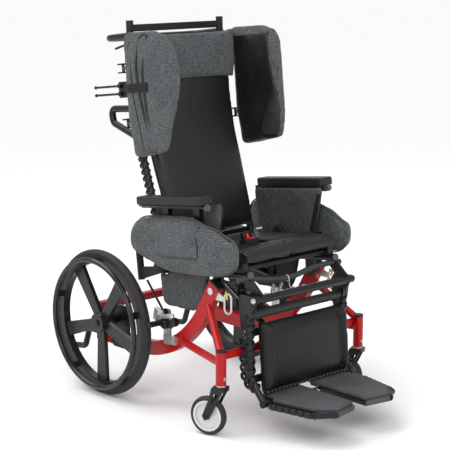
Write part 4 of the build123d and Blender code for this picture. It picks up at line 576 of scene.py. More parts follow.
def wear_group():
    """Paint wear: dust that settles on upward faces, and scuffs."""
    group, enter, leave = new_group(
        "Paint wear",
        [("Colour", COLOUR, None), ("Roughness", FLOAT, 0.3), ("Dust", FLOAT, 0.1), ("Scuffs", FLOAT, 0.2)],
    )
    where = add(group, "ShaderNodeTexCoord").outputs["Object"]
    face = add(group, "ShaderNodeNewGeometry")
    up = add(group, "ShaderNodeSeparateXYZ", Vector=face.outputs["Normal"]).outputs[2]
    cloud = clouded(group, where, 22.0, 5.0)
    dust = times(group, spread(group, up, 0.3, 1.0), spread(group, cloud, 0.4, 0.7))
    dust = times(group, dust, enter.outputs["Dust"])
    colour = mixed(group, dust, enter.outputs["Colour"], (0.35, 0.33, 0.31, 1))
    group.links.new(colour, leave.inputs["Colour"])
    marks = clouded(group, where, 95.0, 6.0)
    scuff = times(group, spread(group, marks, 0.55, 0.72), enter.outputs["Scuffs"])
    rough = plus(group, enter.outputs["Roughness"], plus(group, scuff, dust))
    group.links.new(rough, leave.inputs["Roughness"])
    peel = clouded(group, where, 260.0, 2.0)
    group.links.new(peel, leave.inputs["Height"])
    return group


def finish_with(name, group, values, bump, depth, shader):
    """A material: one group feeds the colour, roughness and bump of one Principled shader."""
    material = bpy.data.materials.new(name)
    material.use_nodes = True
    tree = material.node_tree
    body = tree.nodes["Principled BSDF"]
    pattern = tree.nodes.new("ShaderNodeGroup")
    pattern.node_tree = group
    for key, value in values.items():
        pattern.inputs[key].default_value = value
    tree.links.new(pattern.outputs["Colour"], body.inputs["Base Color"])
    tree.links.new(pattern.outputs["Roughness"], body.inputs["Roughness"])
    relief = add(tree, "ShaderNodeBump", Strength=bump, Distance=depth, Height=pattern.outputs["Height"])
    tree.links.new(relief.outputs[0], body.inputs["Normal"])
    for key, value in shader.items():
        body.inputs[key].default_value = value
    return material


FINISH = {}
# Share of the cloth's colours kept for the arm panels: painted shade, a darker copy of the same cloth
ARM_PAINTED_SHADE = 0.52


def with_alpha(colour):
    """An RGBA colour."""
    return (*colour, 1.0)


def make_finishes():
    """Every material of the chair by its plain name."""
    colours, sizes = bpy.context.scene.chair_colours, bpy.context.scene.chair_sizes
    woven, grain, wear = woven_group(), grain_group(), wear_group()
    cloth = {"Middle": with_alpha(colours.cloth), "Cool": with_alpha(colours.cloth_blue),
             "Warm": with_alpha(colours.cloth_brown), "Pitch": sizes.check}
    soft = {"Sheen Weight": 0.12, "Sheen Roughness": 0.5, "Specular IOR Level": 0.12}
    FINISH["cloth"] = finish_with("heathered cloth", woven, cloth, 0.25, 0.0007, soft)
    # A darker copy of the same cloth for the arm panels: painted shade
    shaded = {"Pitch": sizes.check}
    for key in ("Middle", "Cool", "Warm"):
        shaded[key] = with_alpha([part * ARM_PAINTED_SHADE for part in cloth[key][:3]])
    FINISH["painted_shade_cloth"] = finish_with("shaded heathered cloth", woven, shaded, 0.25, 0.0007, soft)

    def grained(key, label, colour, cell, tone, rough, bump, depth, creases=0.0, **shader):
        values = {"Colour": with_alpha(colour), "Cell size": cell, "Tone": tone, "Roughness": rough,
                  "Creases": creases}
        FINISH[key] = finish_with(label, grain, values, bump, depth, {"Specular IOR Level": 0.35, **shader})

    def painted(key, label, colour, rough, dust, scuffs, bump=0.03, **shader):
        values = {"Colour": with_alpha(colour), "Roughness": rough, "Dust": dust, "Scuffs": scuffs}
        FINISH[key] = finish_with(label, wear, values, bump, 0.0003, shader)

    grained("vinyl", "black vinyl", colours.vinyl, 900.0, 0.6, 0.40, 0.25, 0.0003, 14.0,
            **{"Specular IOR Level": 0.42})
    grained("calf_vinyl", "dark calf vinyl", (0.0055, 0.0055, 0.0062), 900.0, 0.5, 0.44, 0.2, 0.0003, 12.0,
            **{"Specular IOR Level": 0.34})
    grained("moulded", "black moulded plastic", (0.0075, 0.0075, 0.008), 1500.0, 0.3, 0.34, 0.15, 0.0002)
    grained("mag", "dark mag plastic", (0.013, 0.013, 0.0145), 1600.0, 0.3, 0.30, 0.1, 0.0002)
    grained("tyre", "grey-black tyre", (0.017, 0.017, 0.018), 600.0, 0.5, 0.62, 0.25, 0.0003)
    grained("castor_tyre", "dark castor tyre", (0.016, 0.016, 0.017), 600.0, 0.4, 0.55, 0.25, 0.0003)
    grained("arm_rubber", "soft armrest rubber", (0.014, 0.014, 0.015), 1100.0, 0.4, 0.46, 0.25, 0.0002)
    grained("foot_pad", "ribbed foot pad", colours.foot_pad, 520.0, 0.6, 0.80, 0.5, 0.0005, 1.0)
    grained("webbing", "black webbing", (0.0065, 0.0065, 0.007), 1300.0, 0.5, 0.6, 0.4, 0.0003)
    grained("cord", "black elastic cord", (0.006, 0.006, 0.0065), 2200.0, 0.4, 0.42, 0.5, 0.0003)
    grained("cap", "grey plug plastic", (0.075, 0.078, 0.082), 1500.0, 0.2, 0.5, 0.1, 0.0002)
    grained("cable", "grey cable sleeve", (0.040, 0.041, 0.044), 1500.0, 0.3, 0.5, 0.1, 0.0002)
    grained("grey_bar", "grey bar sleeve", (0.026, 0.026, 0.028), 1500.0, 0.3, 0.5, 0.1, 0.0002)
    painted("red", "red powder coat", colours.paint, 0.28, 0.02, 0.08,
            **{"Coat Weight": 0.06, "Coat Roughness": 0.08, "Specular IOR Level": 0.28})
    painted("black", "black powder coat", (0.0075, 0.0075, 0.008), 0.34, 0.02, 0.15,
            **{"Specular IOR Level": 0.4})
    painted("rim", "black handrim coat", (0.009, 0.009, 0.0095), 0.22, 0.02, 0.1)
    painted("zinc", "zinc plating", (0.62, 0.62, 0.64), 0.26, 0.1, 0.2, Metallic=1.0)
    painted("silver", "satin silver", (0.62, 0.62, 0.62), 0.32, 0.08, 0.2, Metallic=0.7)
    painted("castor_rim", "pale castor rim", (0.66, 0.66, 0.65), 0.35, 0.10, 0.2)
    painted("button", "red button", (0.55, 0.015, 0.015), 0.3, 0.02, 0.05)
    painted("yellow", "yellow tag", (0.72, 0.60, 0.02), 0.5, 0.1, 0.2)
    painted("white", "white nylon", (0.80, 0.80, 0.78), 0.45, 0.05, 0.1)


def dress(piece, finish, body):
    """Gives a new piece its finish and its body."""
    piece.data.materials.clear()
    piece.data.materials.append(FINISH[finish])
    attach(piece, body)
    return piece


CAD_FINISH = {
    "red": "curved_member castor_post rear_cross_bar front_cross_bar",
    "black": "axle_plates anti_tip_arms seat_frame arm_sockets arm_frame back_frame legrest_frame"
             " tilt_spring_tube recline_spring_tube",
    "moulded": "castor_fork lock_lever rear_axles frame_caps push_handles recline_lever tilt_lever footplate",
    "zinc": "frame_bolts tilt_spring_rod recline_spring_rod",
    "silver": "wheel_lock_brackets tie_down_rings",
    "webbing": "seat_belt back_straps",
    "tyre": "rear_tyre anti_tip_wheel",
    "mag": "rear_wheel",
    "rim": "handrim",
    "castor_rim": "castor_wheel",
    "castor_tyre": "castor_tyre",
    "arm_rubber": "arm_pad",
    "button": "buckle_button",
    "cable": "control_cables",
}


def finish_cad_nodes():
    """Gives each node that stays in view its finish."""
    finishes = {stem: finish for finish, stems in CAD_FINISH.items() for stem in stems.split()}
    for name, node in NODES.items():
        stem = name.rsplit("_", 1)[0] if name.endswith(("_left", "_right")) else name
        if stem in finishes:
            node.data.materials.clear()
            node.data.materials.append(FINISH[finishes[stem]])


# Upholstery
def measured(*rows):
    """Rows of millimetres in metres."""
    return [tuple(number / 1000 for number in row) for row in rows]


def flank(side, x, route):
    """A route of (y, z) pairs at one distance from the middle, on one side of the chair."""
    return [(side * x, y, z) for y, z in route]


def tape(piece, place, route, radius, proud, inside=False):
    """A thin strip laid along a route on the piece's face."""
    return line("tape", laid_on(piece, place, route, proud, inside), radius, place=place, sides=2)


def met(piece, place, start, way):
    """Where a ray given in the module's own frame meets the piece."""
    hit, spot, _, _ = piece.ray_cast(place @ Vector(start), place.to_3x3() @ Vector(way))
    if not hit:
        raise RuntimeError(f"{piece.name} is missed from {start}")
    return spot


def cover(piece, node, finish, body, slot, fill):
    """Dresses a stuffed cover and puts it in the place of a node's soft solid."""
    dress(piece, finish, body)
    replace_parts(piece, node)
    return piece


def fitting(name, pieces, finish, body):
    """Joins and dresses the parts of one fitting."""
    return dress(joined(name, pieces), finish, body)


def creased(piece, place, height, scale, inside):
    """Lays soft uneven creases into the part of a cover where inside(point) is more than 0."""

    def move(spot):
        share = inside(spot)
        if share <= 0:
            return spot
        lift = noise.noise(Vector((spot.x * 0.3, spot.y, spot.z * 0.55)) * scale)
        return spot + Vector((0, -1, 0)) * lift * height * share

    return reshaped(piece, place, move)


CUSHION_SEAM = -0.098
CUSHION_STITCHES = -0.0935
CUSHION_BASE = 0.092


class CHAIR_OT_cushion(bpy.types.Operator):
    """Makes the seat cushion: a stuffed vinyl cover with a front roll, its seam and its stitches."""

    bl_idname = "chair.cushion"
    bl_label = "Seat cushion"

    def execute(self, context):
        rests = lambda spot: local_of(SEAT, spot).z < CUSHION_BASE
        piece = swollen(node_copy("seat_cushion", "seat_cushion_cover"), cap=0.006, keep=rests)
        pressed_in(piece, lambda spot: local_of(SEAT, spot).y - CUSHION_SEAM, 0.0026, 0.008)
        centre = lambda spot: spot.x if local_of(SEAT, spot).y < CUSHION_SEAM else 1.0
        pressed_in(piece, centre, 0.0045, 0.016)

        def hollow(spot):
            dip = 0.004 * math.exp(-(spot.x / 0.12) ** 2 - ((spot.y - 0.06) / 0.12) ** 2)
            crease = 0.0011 * noise.noise(Vector((spot.x, spot.y, 0)) * 16)
            return spot - Vector((0, 0, (dip - crease) * ramp(spot.z, 0.105, 0.125)))

        reshaped(piece, SEAT, hollow)
        cover(piece, "seat_cushion", "vinyl", "seat", "black_vinyl", 0.7)
        bpy.context.view_layer.update()
        spots = [
            tuple(met(piece, SEAT, (x / 1000, CUSHION_STITCHES, 0.30), (0, 0, -1)) + Vector((0, 0, 0.0002)))
            for x in range(-190, 191, 10)
        ]
        dress(stitches("seat_cushion_stitches", spots), "cap", "seat")
        return {"FINISHED"}


class CHAIR_OT_back_pad(bpy.types.Operator):
    """Makes the back pad: a long stuffed vinyl cover that narrows downwards, with soft creases."""

    bl_idname = "chair.back_pad"
    bl_label = "Back pad"

    def execute(self, context):
        piece = swollen(node_copy("back_pad", "back_pad_cover"), cap=0.005)
        cover(piece, "back_pad", "vinyl", "back", "black_vinyl", 0.6)

        def front(spot):
            lean = max(0.0, 0.35 - spot.z) * 0.1
            return ramp(0.060 - spot.y + lean, 0.0, 0.02) * ramp(spot.z, 0.06, 0.12)

        creased(piece, BACK, 0.0013, 15.0, front)
        return {"FINISHED"}


class CHAIR_OT_pillow(bpy.types.Operator):
    """Makes the head pillow: a stuffed cloth cover across the top of the back."""

    bl_idname = "chair.pillow"
    bl_label = "Head pillow"

    def execute(self, context):
        piece = swollen(node_copy("head_pillow", "head_pillow_cover"), cap=0.005)
        cover(piece, "head_pillow", "cloth", "back", "grey_fabric", 0.6)
        return {"FINISHED"}


# The wings' front edges, as heights with the place of the edge at the inner and the outer face, then
# the seam of the vinyl, how far the vinyl wraps round the front, and the lines of the trims outside
WING_INNER = 0.216
WING_OUTER = 0.272
WING_BAND = 0.01
WING_VINYL_TOP = 0.703
FRONT_INNER = measured(
    (324, -58), (350, -93), (390, -111), (422, -128), (460, -148), (486, -162),
    (527, -177), (572, -188), (607, -188), (646, -178), (690, -154), (721, -123),
)
FRONT_OUTER = measured(
    (327, -114), (341, -146), (365, -159), (396, -167), (466, -168), (518, -165),
    (580, -163), (663, -167), (690, -165), (712, -153),
)
WING_SEAM = measured((345, -200), (400, -190), (504, -163), (608, -146), (695, -142))
WING_WRAP = measured((345, 34), (390, 32), (450, 24), (490, 8), (504, 0), (550, -20))
WING_STITCHES = (0.56, 0.59, 0.62, 0.65, 0.67)
ZIP_FRONT = measured((-81, 714), (-56.6, 634), (-58, 552.8), (-64.4, 431.8), (-80.7, 336))
ZIP_REAR = measured((-48, 716), (-31, 675), (-26.6, 571), (-52, 432), (-64, 336))
ZIP_LOOP = measured((-81, 712), (-72, 722), (-58, 724), (-48, 716))
WING_EDGE = measured((4, 705), (6, 620), (4, 520), (-14, 430), (-30, 345))
WING_BAND_HEIGHTS = (0.541, 0.548, 0.555, 0.562)
WING_BAND_RUN = (0.042, 0.02, -0.005, -0.03, -0.055, -0.076)


def wing_fitted(piece):
    """Gives the wing its front edges, its rounded top and the soft bulge of its vinyl face."""
    fronts = {}
    back = BACK.inverted()
    for vertex in piece.data.vertices:
        spot = back @ vertex.co
        level = round(spot.z / WING_BAND)
        fronts[level] = min(fronts.get(level, 0.0), spot.y)

    def move(spot):
        side = 1 if spot.x > 0 else -1
        wide = min(1.0, max(0.0, (abs(spot.x) - WING_INNER) / (WING_OUTER - WING_INNER)))
        level = spot.z / WING_BAND
        low = math.floor(level)
        near = fronts.get(low, fronts.get(low + 1, -0.1))
        front = near + (fronts.get(low + 1, near) - near) * (level - low)
        goal = along(FRONT_INNER, spot.z) * (1 - wide) + along(FRONT_OUTER, spot.z) * wide
        y = spot.y
        if y < -0.01 and front < -0.02:
            y = -0.01 + (y + 0.01) * (goal + 0.01) / (front + 0.01)
        top = ramp(spot.z, 0.675, 0.745)
        drawn = wide * (0.008 * ramp(-y, 0.10, 0.17) + 0.010 * top)
        bulge = ramp(0.35 - wide, 0.0, 0.3) * ramp(-y, 0.0, 0.05) * ramp(y - goal, 0.03, 0.10)
        bulge *= ramp(spot.z, 0.33, 0.42) * ramp(0.735 - spot.z, 0.0, 0.06)
        fold = 0.0015 * noise.noise(Vector((0.0, y * 1.3, spot.z)) * 22) * (0.3 + bulge)
        return Vector((spot.x - side * (drawn + 0.008 * bulge + fold), y, spot.z))

    return reshaped(piece, BACK, move)


def wing_vinyl(spot):
    """Whether a point of the wing belongs to its vinyl inner face."""
    wide = abs(spot.x) - WING_INNER
    if spot.z > WING_VINYL_TOP or spot.y > 0.06:
        return False
    face = wide < 0.014 and spot.y > along(WING_SEAM, spot.z)
    return face or spot.y < -0.03 and wide < along(WING_WRAP, spot.z)


def wing_seam(point):
    """How far a point of the wing's inner face lies from the vinyl's seam."""
    spot = local_of(BACK, point)
    return spot.y - along(WING_SEAM, spot.z) if abs(spot.x) < 0.232 and spot.z < 0.705 else 1.0


class CHAIR_OT_wings(bpy.types.Operator):
    """Makes both head wings: cloth cover, vinyl inner face with its seam, two zips and a strap outside."""

    bl_idname = "chair.wings"
    bl_label = "Head wings"

    def execute(self, context):
        for name, side in SIDES.items():
            body = f"wing_{name}"
            piece = swollen(node_copy(f"head_wing_{name}", f"head_wing_cover_{name}"), cap=0.005)
            wing_fitted(piece)
            pressed_in(piece, wing_seam, 0.0022, 0.006)
            cover(piece, f"head_wing_{name}", "cloth", body, "grey_fabric", 0.65)
            piece.data.materials.append(FINISH["vinyl"])
            for face in piece.data.polygons:
                face.material_index = 1 if wing_vinyl(local_of(BACK, face.center)) else 0
            sewn = [(side * 0.22, along(WING_SEAM, z) - 0.0035, z) for z in WING_STITCHES]
            row = stitches(f"wing_stitches_{name}", laid_on(piece, BACK, sewn, 0.0003, True), place=BACK)
            dress(row, "cap", body)
            trims = []
            for route in (ZIP_FRONT, ZIP_REAR):
                trims.append(tape(piece, BACK, flank(side, 0.3, route), 0.0026, 0.0010))
                beside = [(y + 0.0085, z) for y, z in route]
                trims.append(tape(piece, BACK, flank(side, 0.3, beside), 0.0013, 0.0004))
            trims.append(tape(piece, BACK, flank(side, 0.3, ZIP_LOOP), 0.0024, 0.0010))
            trims.append(tape(piece, BACK, flank(side, 0.3, WING_EDGE), 0.0018, 0.0006))
            fitting(f"wing_zips_{name}", trims, "webbing", body)
            band = []
            for z in WING_BAND_HEIGHTS:
                across = flank(side, 0.3, [(y, z) for y in WING_BAND_RUN])
                band.append(tape(piece, BACK, across, 0.0042, 0.0022))
            fitting(f"wing_strap_{name}", band, "webbing", body)
        return {"FINISHED"}


# The side panels' outline, middle and inner face, and the lines sewn on them
RIM_STEPS = 96
PANEL_MIDDLE = (0.095, 0.150)
PANEL_INNER = 0.262
PANEL_BASE = 0.100
POCKET_SLIT = measured((-12, 211), (-6.3, 201), (-5.5, 180), (-12.5, 150), (-9, 125), (-6, 112))
POCKET_HEM = measured((-4.5, 110), (50, 109.5), (95, 110.5), (150, 113), (193, 116.5))
POCKET_ROWS = (
    measured((4, 116), (50, 115.5), (100, 116.5), (150, 119), (190, 122.5)),
    measured((201, 118), (201, 140), (201, 160), (201, 180), (201, 200), (201, 220)),
)


def rim_points(piece, place, low, high):
    """The piece's outline seen from the side, as the farthest point in each direction from its middle."""
    reach = [0.0] * RIM_STEPS
    back = place.inverted()
    for vertex in piece.data.vertices:
        spot = back @ vertex.co
        if low < abs(spot.x) < high:
            y, z = spot.y - PANEL_MIDDLE[0], spot.z - PANEL_MIDDLE[1]
            step = round(math.atan2(z, y) / (2 * math.pi) * RIM_STEPS) % RIM_STEPS
            reach[step] = max(reach[step], math.hypot(y, z))
    turns = [2 * math.pi * step / RIM_STEPS for step in range(RIM_STEPS)]
    return [(PANEL_MIDDLE[0] + far * math.cos(turn), PANEL_MIDDLE[1] + far * math.sin(turn))
            for far, turn in zip(reach, turns) if far > 0.02]


def pillowed(piece, place, soft=0.034, rim=0.24):
    """Draws the outer face in towards the inner edge near the outline, like a stuffed cover."""
    points = rim_points(piece, place, 0.0, 1.0)
    tree = KDTree(len(points) * 4)
    for index, (start, end) in enumerate(zip(points, points[1:] + points[:1])):
        for part in range(4):
            share = part / 4
            spot = (0.0, start[0] + (end[0] - start[0]) * share, start[1] + (end[1] - start[1]) * share)
            tree.insert(spot, index * 4 + part)
    tree.balance()

    def move(spot):
        side = 1 if spot.x > 0 else -1
        away = tree.find((0.0, spot.y, spot.z))[2]
        full = rim + (1 - rim) * math.sqrt(max(0.0, 1 - (1 - min(1.0, away / soft)) ** 2))
        wide = (abs(spot.x) - PANEL_INNER) * full
        crease = 0.0012 * noise.noise(Vector((0, spot.y, spot.z)) * 18) * ramp(wide, 0.01, 0.03)
        return Vector((side * (PANEL_INNER + wide + crease), spot.y, spot.z))

    return reshaped(piece, place, move)


class CHAIR_OT_side_panels(bpy.types.Operator):
    """Makes both padded side panels with piping, a pocket flap, and the hanging skirt behind."""

    bl_idname = "chair.side_panels"
    bl_label = "Side panels"

    def execute(self, context):
        piping = context.scene.chair_sizes.piping
        rests = lambda spot: local_of(SEAT, spot).z < PANEL_BASE
        for name, side in SIDES.items():
            node = f"side_panel_{name}"
            outer = node_copy(node, f"side_panel_cover_{name}", lambda middle: abs(middle.x) > 0.235)
            panel = swollen(outer, cap=0.006, keep=rests)
            pillowed(panel, SEAT)

            def drawn(spot):
                upper = ramp(0.06 - spot.y, 0.0, 0.10) * ramp(spot.y, -0.172, -0.122)
                upper *= ramp(spot.z, 0.12, 0.20)
                tip = ramp(-spot.y, 0.03, 0.15)
                rear = ramp(spot.y, 0.26, 0.34)
                move = (-side * 0.013 * tip, 0.015 * tip + 0.008 * rear, -0.024 * upper + 0.006 * rear)
                return spot + Vector(move)

            def flap(spot):
                inside = ramp(spot.y, -0.014, -0.006) * ramp(0.200 - spot.y, 0.0, 0.01)
                inside *= ramp(spot.z, 0.112 - spot.y * 0.03, 0.120) * ramp(abs(spot.x), 0.280, 0.288)
                return spot + Vector((side * 0.0022 * inside, 0, 0))

            reshaped(panel, SEAT, drawn)
            reshaped(panel, SEAT, flap)
            cover(panel, node, "cloth", "seat", "grey_fabric", 0.6)
            hanging = node_copy(node, f"skirt_{name}", lambda middle: abs(middle.x) < 0.235)
            skirt = swollen(hanging, cap=0.003, shrink=0.0005, voxel=0.0045, pressure=1.5)
            dress(skirt, "cloth", "seat")
            # The skirt's faces turned towards the chair's middle get the black webbing finish: painted shade on
            # its inner side
            skirt.data.materials.append(FINISH["webbing"])
            for face in skirt.data.polygons:
                face.material_index = 1 if face.normal.x * side < -0.3 else 0
            rim = []
            for y, z in rim_points(panel, SEAT, 0.0, 0.272):
                drop = 0.0028 / math.hypot(y - PANEL_MIDDLE[0], z - PANEL_MIDDLE[1])
                y, z = y + (PANEL_MIDDLE[0] - y) * drop, z + (PANEL_MIDDLE[1] - z) * drop
                rim.append((side * (PANEL_INNER + 0.0035 - 0.013 * ramp(-y, 0.015, 0.135)), y, z))
            edge = line("piping", rim, piping, closed=True, place=SEAT, sides=2, resolution=2)
            dress(named(edge, f"side_panel_piping_{name}"), "cloth", "seat")
            opening = [
                tape(panel, SEAT, flank(side, 0.3, POCKET_SLIT), 0.0019, 0.0002),
                tape(panel, SEAT, flank(side, 0.3, POCKET_HEM), 0.0009, 0.0001),
            ]
            fitting(f"pocket_opening_{name}", opening, "webbing", "seat")
            rows = [stitches("row", laid_on(panel, SEAT, flank(side, 0.3, route), 0.0003), place=SEAT)
                    for route in POCKET_ROWS]
            fitting(f"pocket_stitches_{name}", rows, "webbing", "seat")
        return {"FINISHED"}


ARM_STRAP = measured((-67.007, 258), (-53.213, 220), (-38.693, 180), (-24.173, 140), (-11.468, 105))
ARM_X = 0.277
KNOB_Z = 0.2735
KNOB_STEPS = ((-0.040, -0.054, 0.0115, 0.0024), (-0.054, -0.0565, 0.0060, 0.0012))


class CHAIR_OT_arm_covers(bpy.types.Operator):
    """Makes the cloth panels inside the arms, their front straps and the knobs under the armrests."""

    bl_idname = "chair.arm_covers"
    bl_label = "Arm panels"

    def execute(self, context):
        stretched = lambda spot: spot + Vector((0, 0, 0.012 * ramp(spot.z, 0.22, 0.268)))
        for name, side in SIDES.items():
            node, body = f"arm_panel_{name}", f"arm_{name}"
            piece = swollen(node_copy(node, f"arm_panel_cover_{name}"), cap=0.003, shrink=0.001, voxel=0.0045)
            reshaped(piece, SEAT, stretched)
            # The arm panel takes the darker copy of the cloth: painted shade
            cover(piece, node, "painted_shade_cloth", body, "grey_fabric", 0.4)
            straps = []
            for shift in (0.007, 0.012, 0.017):
                route = [(y + shift, z) for y, z in ARM_STRAP]
                straps.append(tape(piece, SEAT, flank(side, 0.2, route), 0.0034, 0.0006, True))
            fitting(f"arm_strap_{name}", straps, "webbing", body)
            knobs = []
            for front, rear, radius, bevel in KNOB_STEPS:
                ends = flank(side, ARM_X, ((front, KNOB_Z), (rear, KNOB_Z)))
                knobs.append(round_bar("knob", *ends, radius, bevel, 24, SEAT))
            fitting(f"arm_knob_{name}", knobs, "cap", body)
            base = [slab("plate", (0.050, 0.306, 0.006), (side * ARM_X, 0.116, 0.2795), 0.0022, 2, SEAT)]
            for y in (0.0, 0.11, 0.22):
                base.append(bolt("bolt", (side * ARM_X, y, 0.2765), (0, 0, -1), 0.005, 0.003, SEAT))
            fitting(f"arm_pad_base_{name}", base, "moulded", body)
        return {"FINISHED"}


CALF_SEAM = 0.153
CALF_HEMS = (-0.084, -0.286)


class CHAIR_OT_calf_pad(bpy.types.Operator):
    """Makes the calf pad: a creased vinyl cover with a bolster at each side behind a stitched seam."""

    bl_idname = "chair.calf_pad"
    bl_label = "Calf pad"

    def execute(self, context):
        piece = swollen(node_copy("calf_pad", "calf_pad_cover"), cap=0.005)
        reshaped(piece, LEG, lambda spot: spot + Vector((0, 0, -0.014 * ramp(-spot.z, 0.20, 0.29))))
        creased(piece, LEG, 0.0016, 18.0, lambda spot: ramp(-spot.y, -0.005, 0.015))
        seam = lambda spot: abs(spot.x) - CALF_SEAM if local_of(LEG, spot).y < 0 else 1.0
        pressed_in(piece, seam, 0.004, 0.008)

        def hem(point):
            spot = local_of(LEG, point)
            return min(abs(spot.z - height) for height in CALF_HEMS) if spot.y < -0.012 else 1.0

        pressed_in(piece, hem, 0.0016, 0.005)
        cover(piece, "calf_pad", "calf_vinyl", "legrest", "black_vinyl", 0.7)
        bpy.context.view_layer.update()
        rows = []
        for side in SIDES.values():
            for away in (CALF_SEAM - 0.0055, CALF_SEAM + 0.0055):
                starts = [(side * away, -0.3, z / 1000) for z in range(-280, -89, 19)]
                spots = [met(piece, LEG, start, (0, 1, 0)) for start in starts]
                rows.append(stitches("row", [tuple(spot + Vector((0, -0.0003, 0))) for spot in spots]))
        fitting("calf_pad_stitches", rows, "cap", "legrest")
        return {"FINISHED"}


# Fittings
SPINE = measured(
    (26, 117.2), (43.3, 195.3), (64.9, 292.9), (78.1, 352.4), (85.6, 390.7), (92.5, 440.2),
    (96.3, 490.1), (96.9, 540.1), (94, 595), (89.3, 649.8), (85.8, 689.6), (82.1, 731.5),
)
LEG_SIDE = measured((36, -52), (47, -133), (50, -252), (22, -296))
LEG_BEHIND = measured((81, -133), (84, -252), (56, -296))
BACK_TUBE_X = 0.203
LEG_SIDE_X = 0.214


class CHAIR_OT_straps(bpy.types.Operator):
    """Makes the cords laced round both back tubes and the doubled lacing down the legrest's sides."""

    bl_idname = "chair.straps"
    bl_label = "Laced cords"

    def execute(self, context):
        phases = (0.0, math.pi)
        cords = []
        for side in SIDES.values():
            route = flank(side, BACK_TUBE_X, SPINE)
            cords += [wound("cord", route, 0.0140, 0.046, 0.0034, BACK, phase, 0.008) for phase in phases]
        piece = fitting("back_laced_cords", cords, "cord", "back")
        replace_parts(piece, "back_straps")
        cords = []
        for side in SIDES.values():
            route = flank(side, LEG_SIDE_X, LEG_SIDE)
            cords += [wound("cord", route, 0.0140, 0.058, 0.0052, LEG, phase, 0.007) for phase in phases]
            behind = flank(side, LEG_SIDE_X, LEG_BEHIND)
            cords += [wound("cord", behind, 0.0070, 0.058, 0.0052, LEG, phase) for phase in phases]
            (x, top_y, top_z), (_, low_y, low_z) = behind[0], behind[-1]
            ends = [(x, top_y - 0.034, top_z + 0.004), behind[0], behind[-1], (x, low_y - 0.03, low_z - 0.004)]
            cords.append(line("core", ends, 0.0075, place=LEG))
        fitting("legrest_laced_cords", cords, "cord", "legrest")
        return {"FINISHED"}


# The release rod under the seat's front, the cable bundle's line across the chair and the tie round it
ROD_Y, ROD_Z = -0.150, -0.018
BUSHES = (-0.150, -0.118, -0.082, 0.020, 0.090, 0.140)
BUNDLE_Y = -0.125
BUNDLE = measured(
    (-243, 41), (-203, 41), (-156, 31), (-107, 22), (-64, 16.5), (-27, 14.5),
    (20, 18), (48, 23), (79, 29), (127, 33), (181, 32), (225, 30),
)
TIE_X, TIE_Z, TIE_REACH = -0.028, 0.0145, 0.0102
TIE_TAIL = measured((-28, -134.5, 14.5), (-29, -136, 6), (-25, -131, -4), (-34, -140, -12), (-32, -148, -16))
TAG = measured((238.5, -262, 446), (244, -268, 441), (243.5, -272, 430), (240, -268, 424))
HINGE_Z = 0.030


def crossbar(name, low, high, y, z, radius, bevel=0.0, sides=32, place=FLOOR):
    """A round bar straight across the chair."""
    return round_bar(name, (low, y, z), (high, y, z), radius, bevel, sides, place)


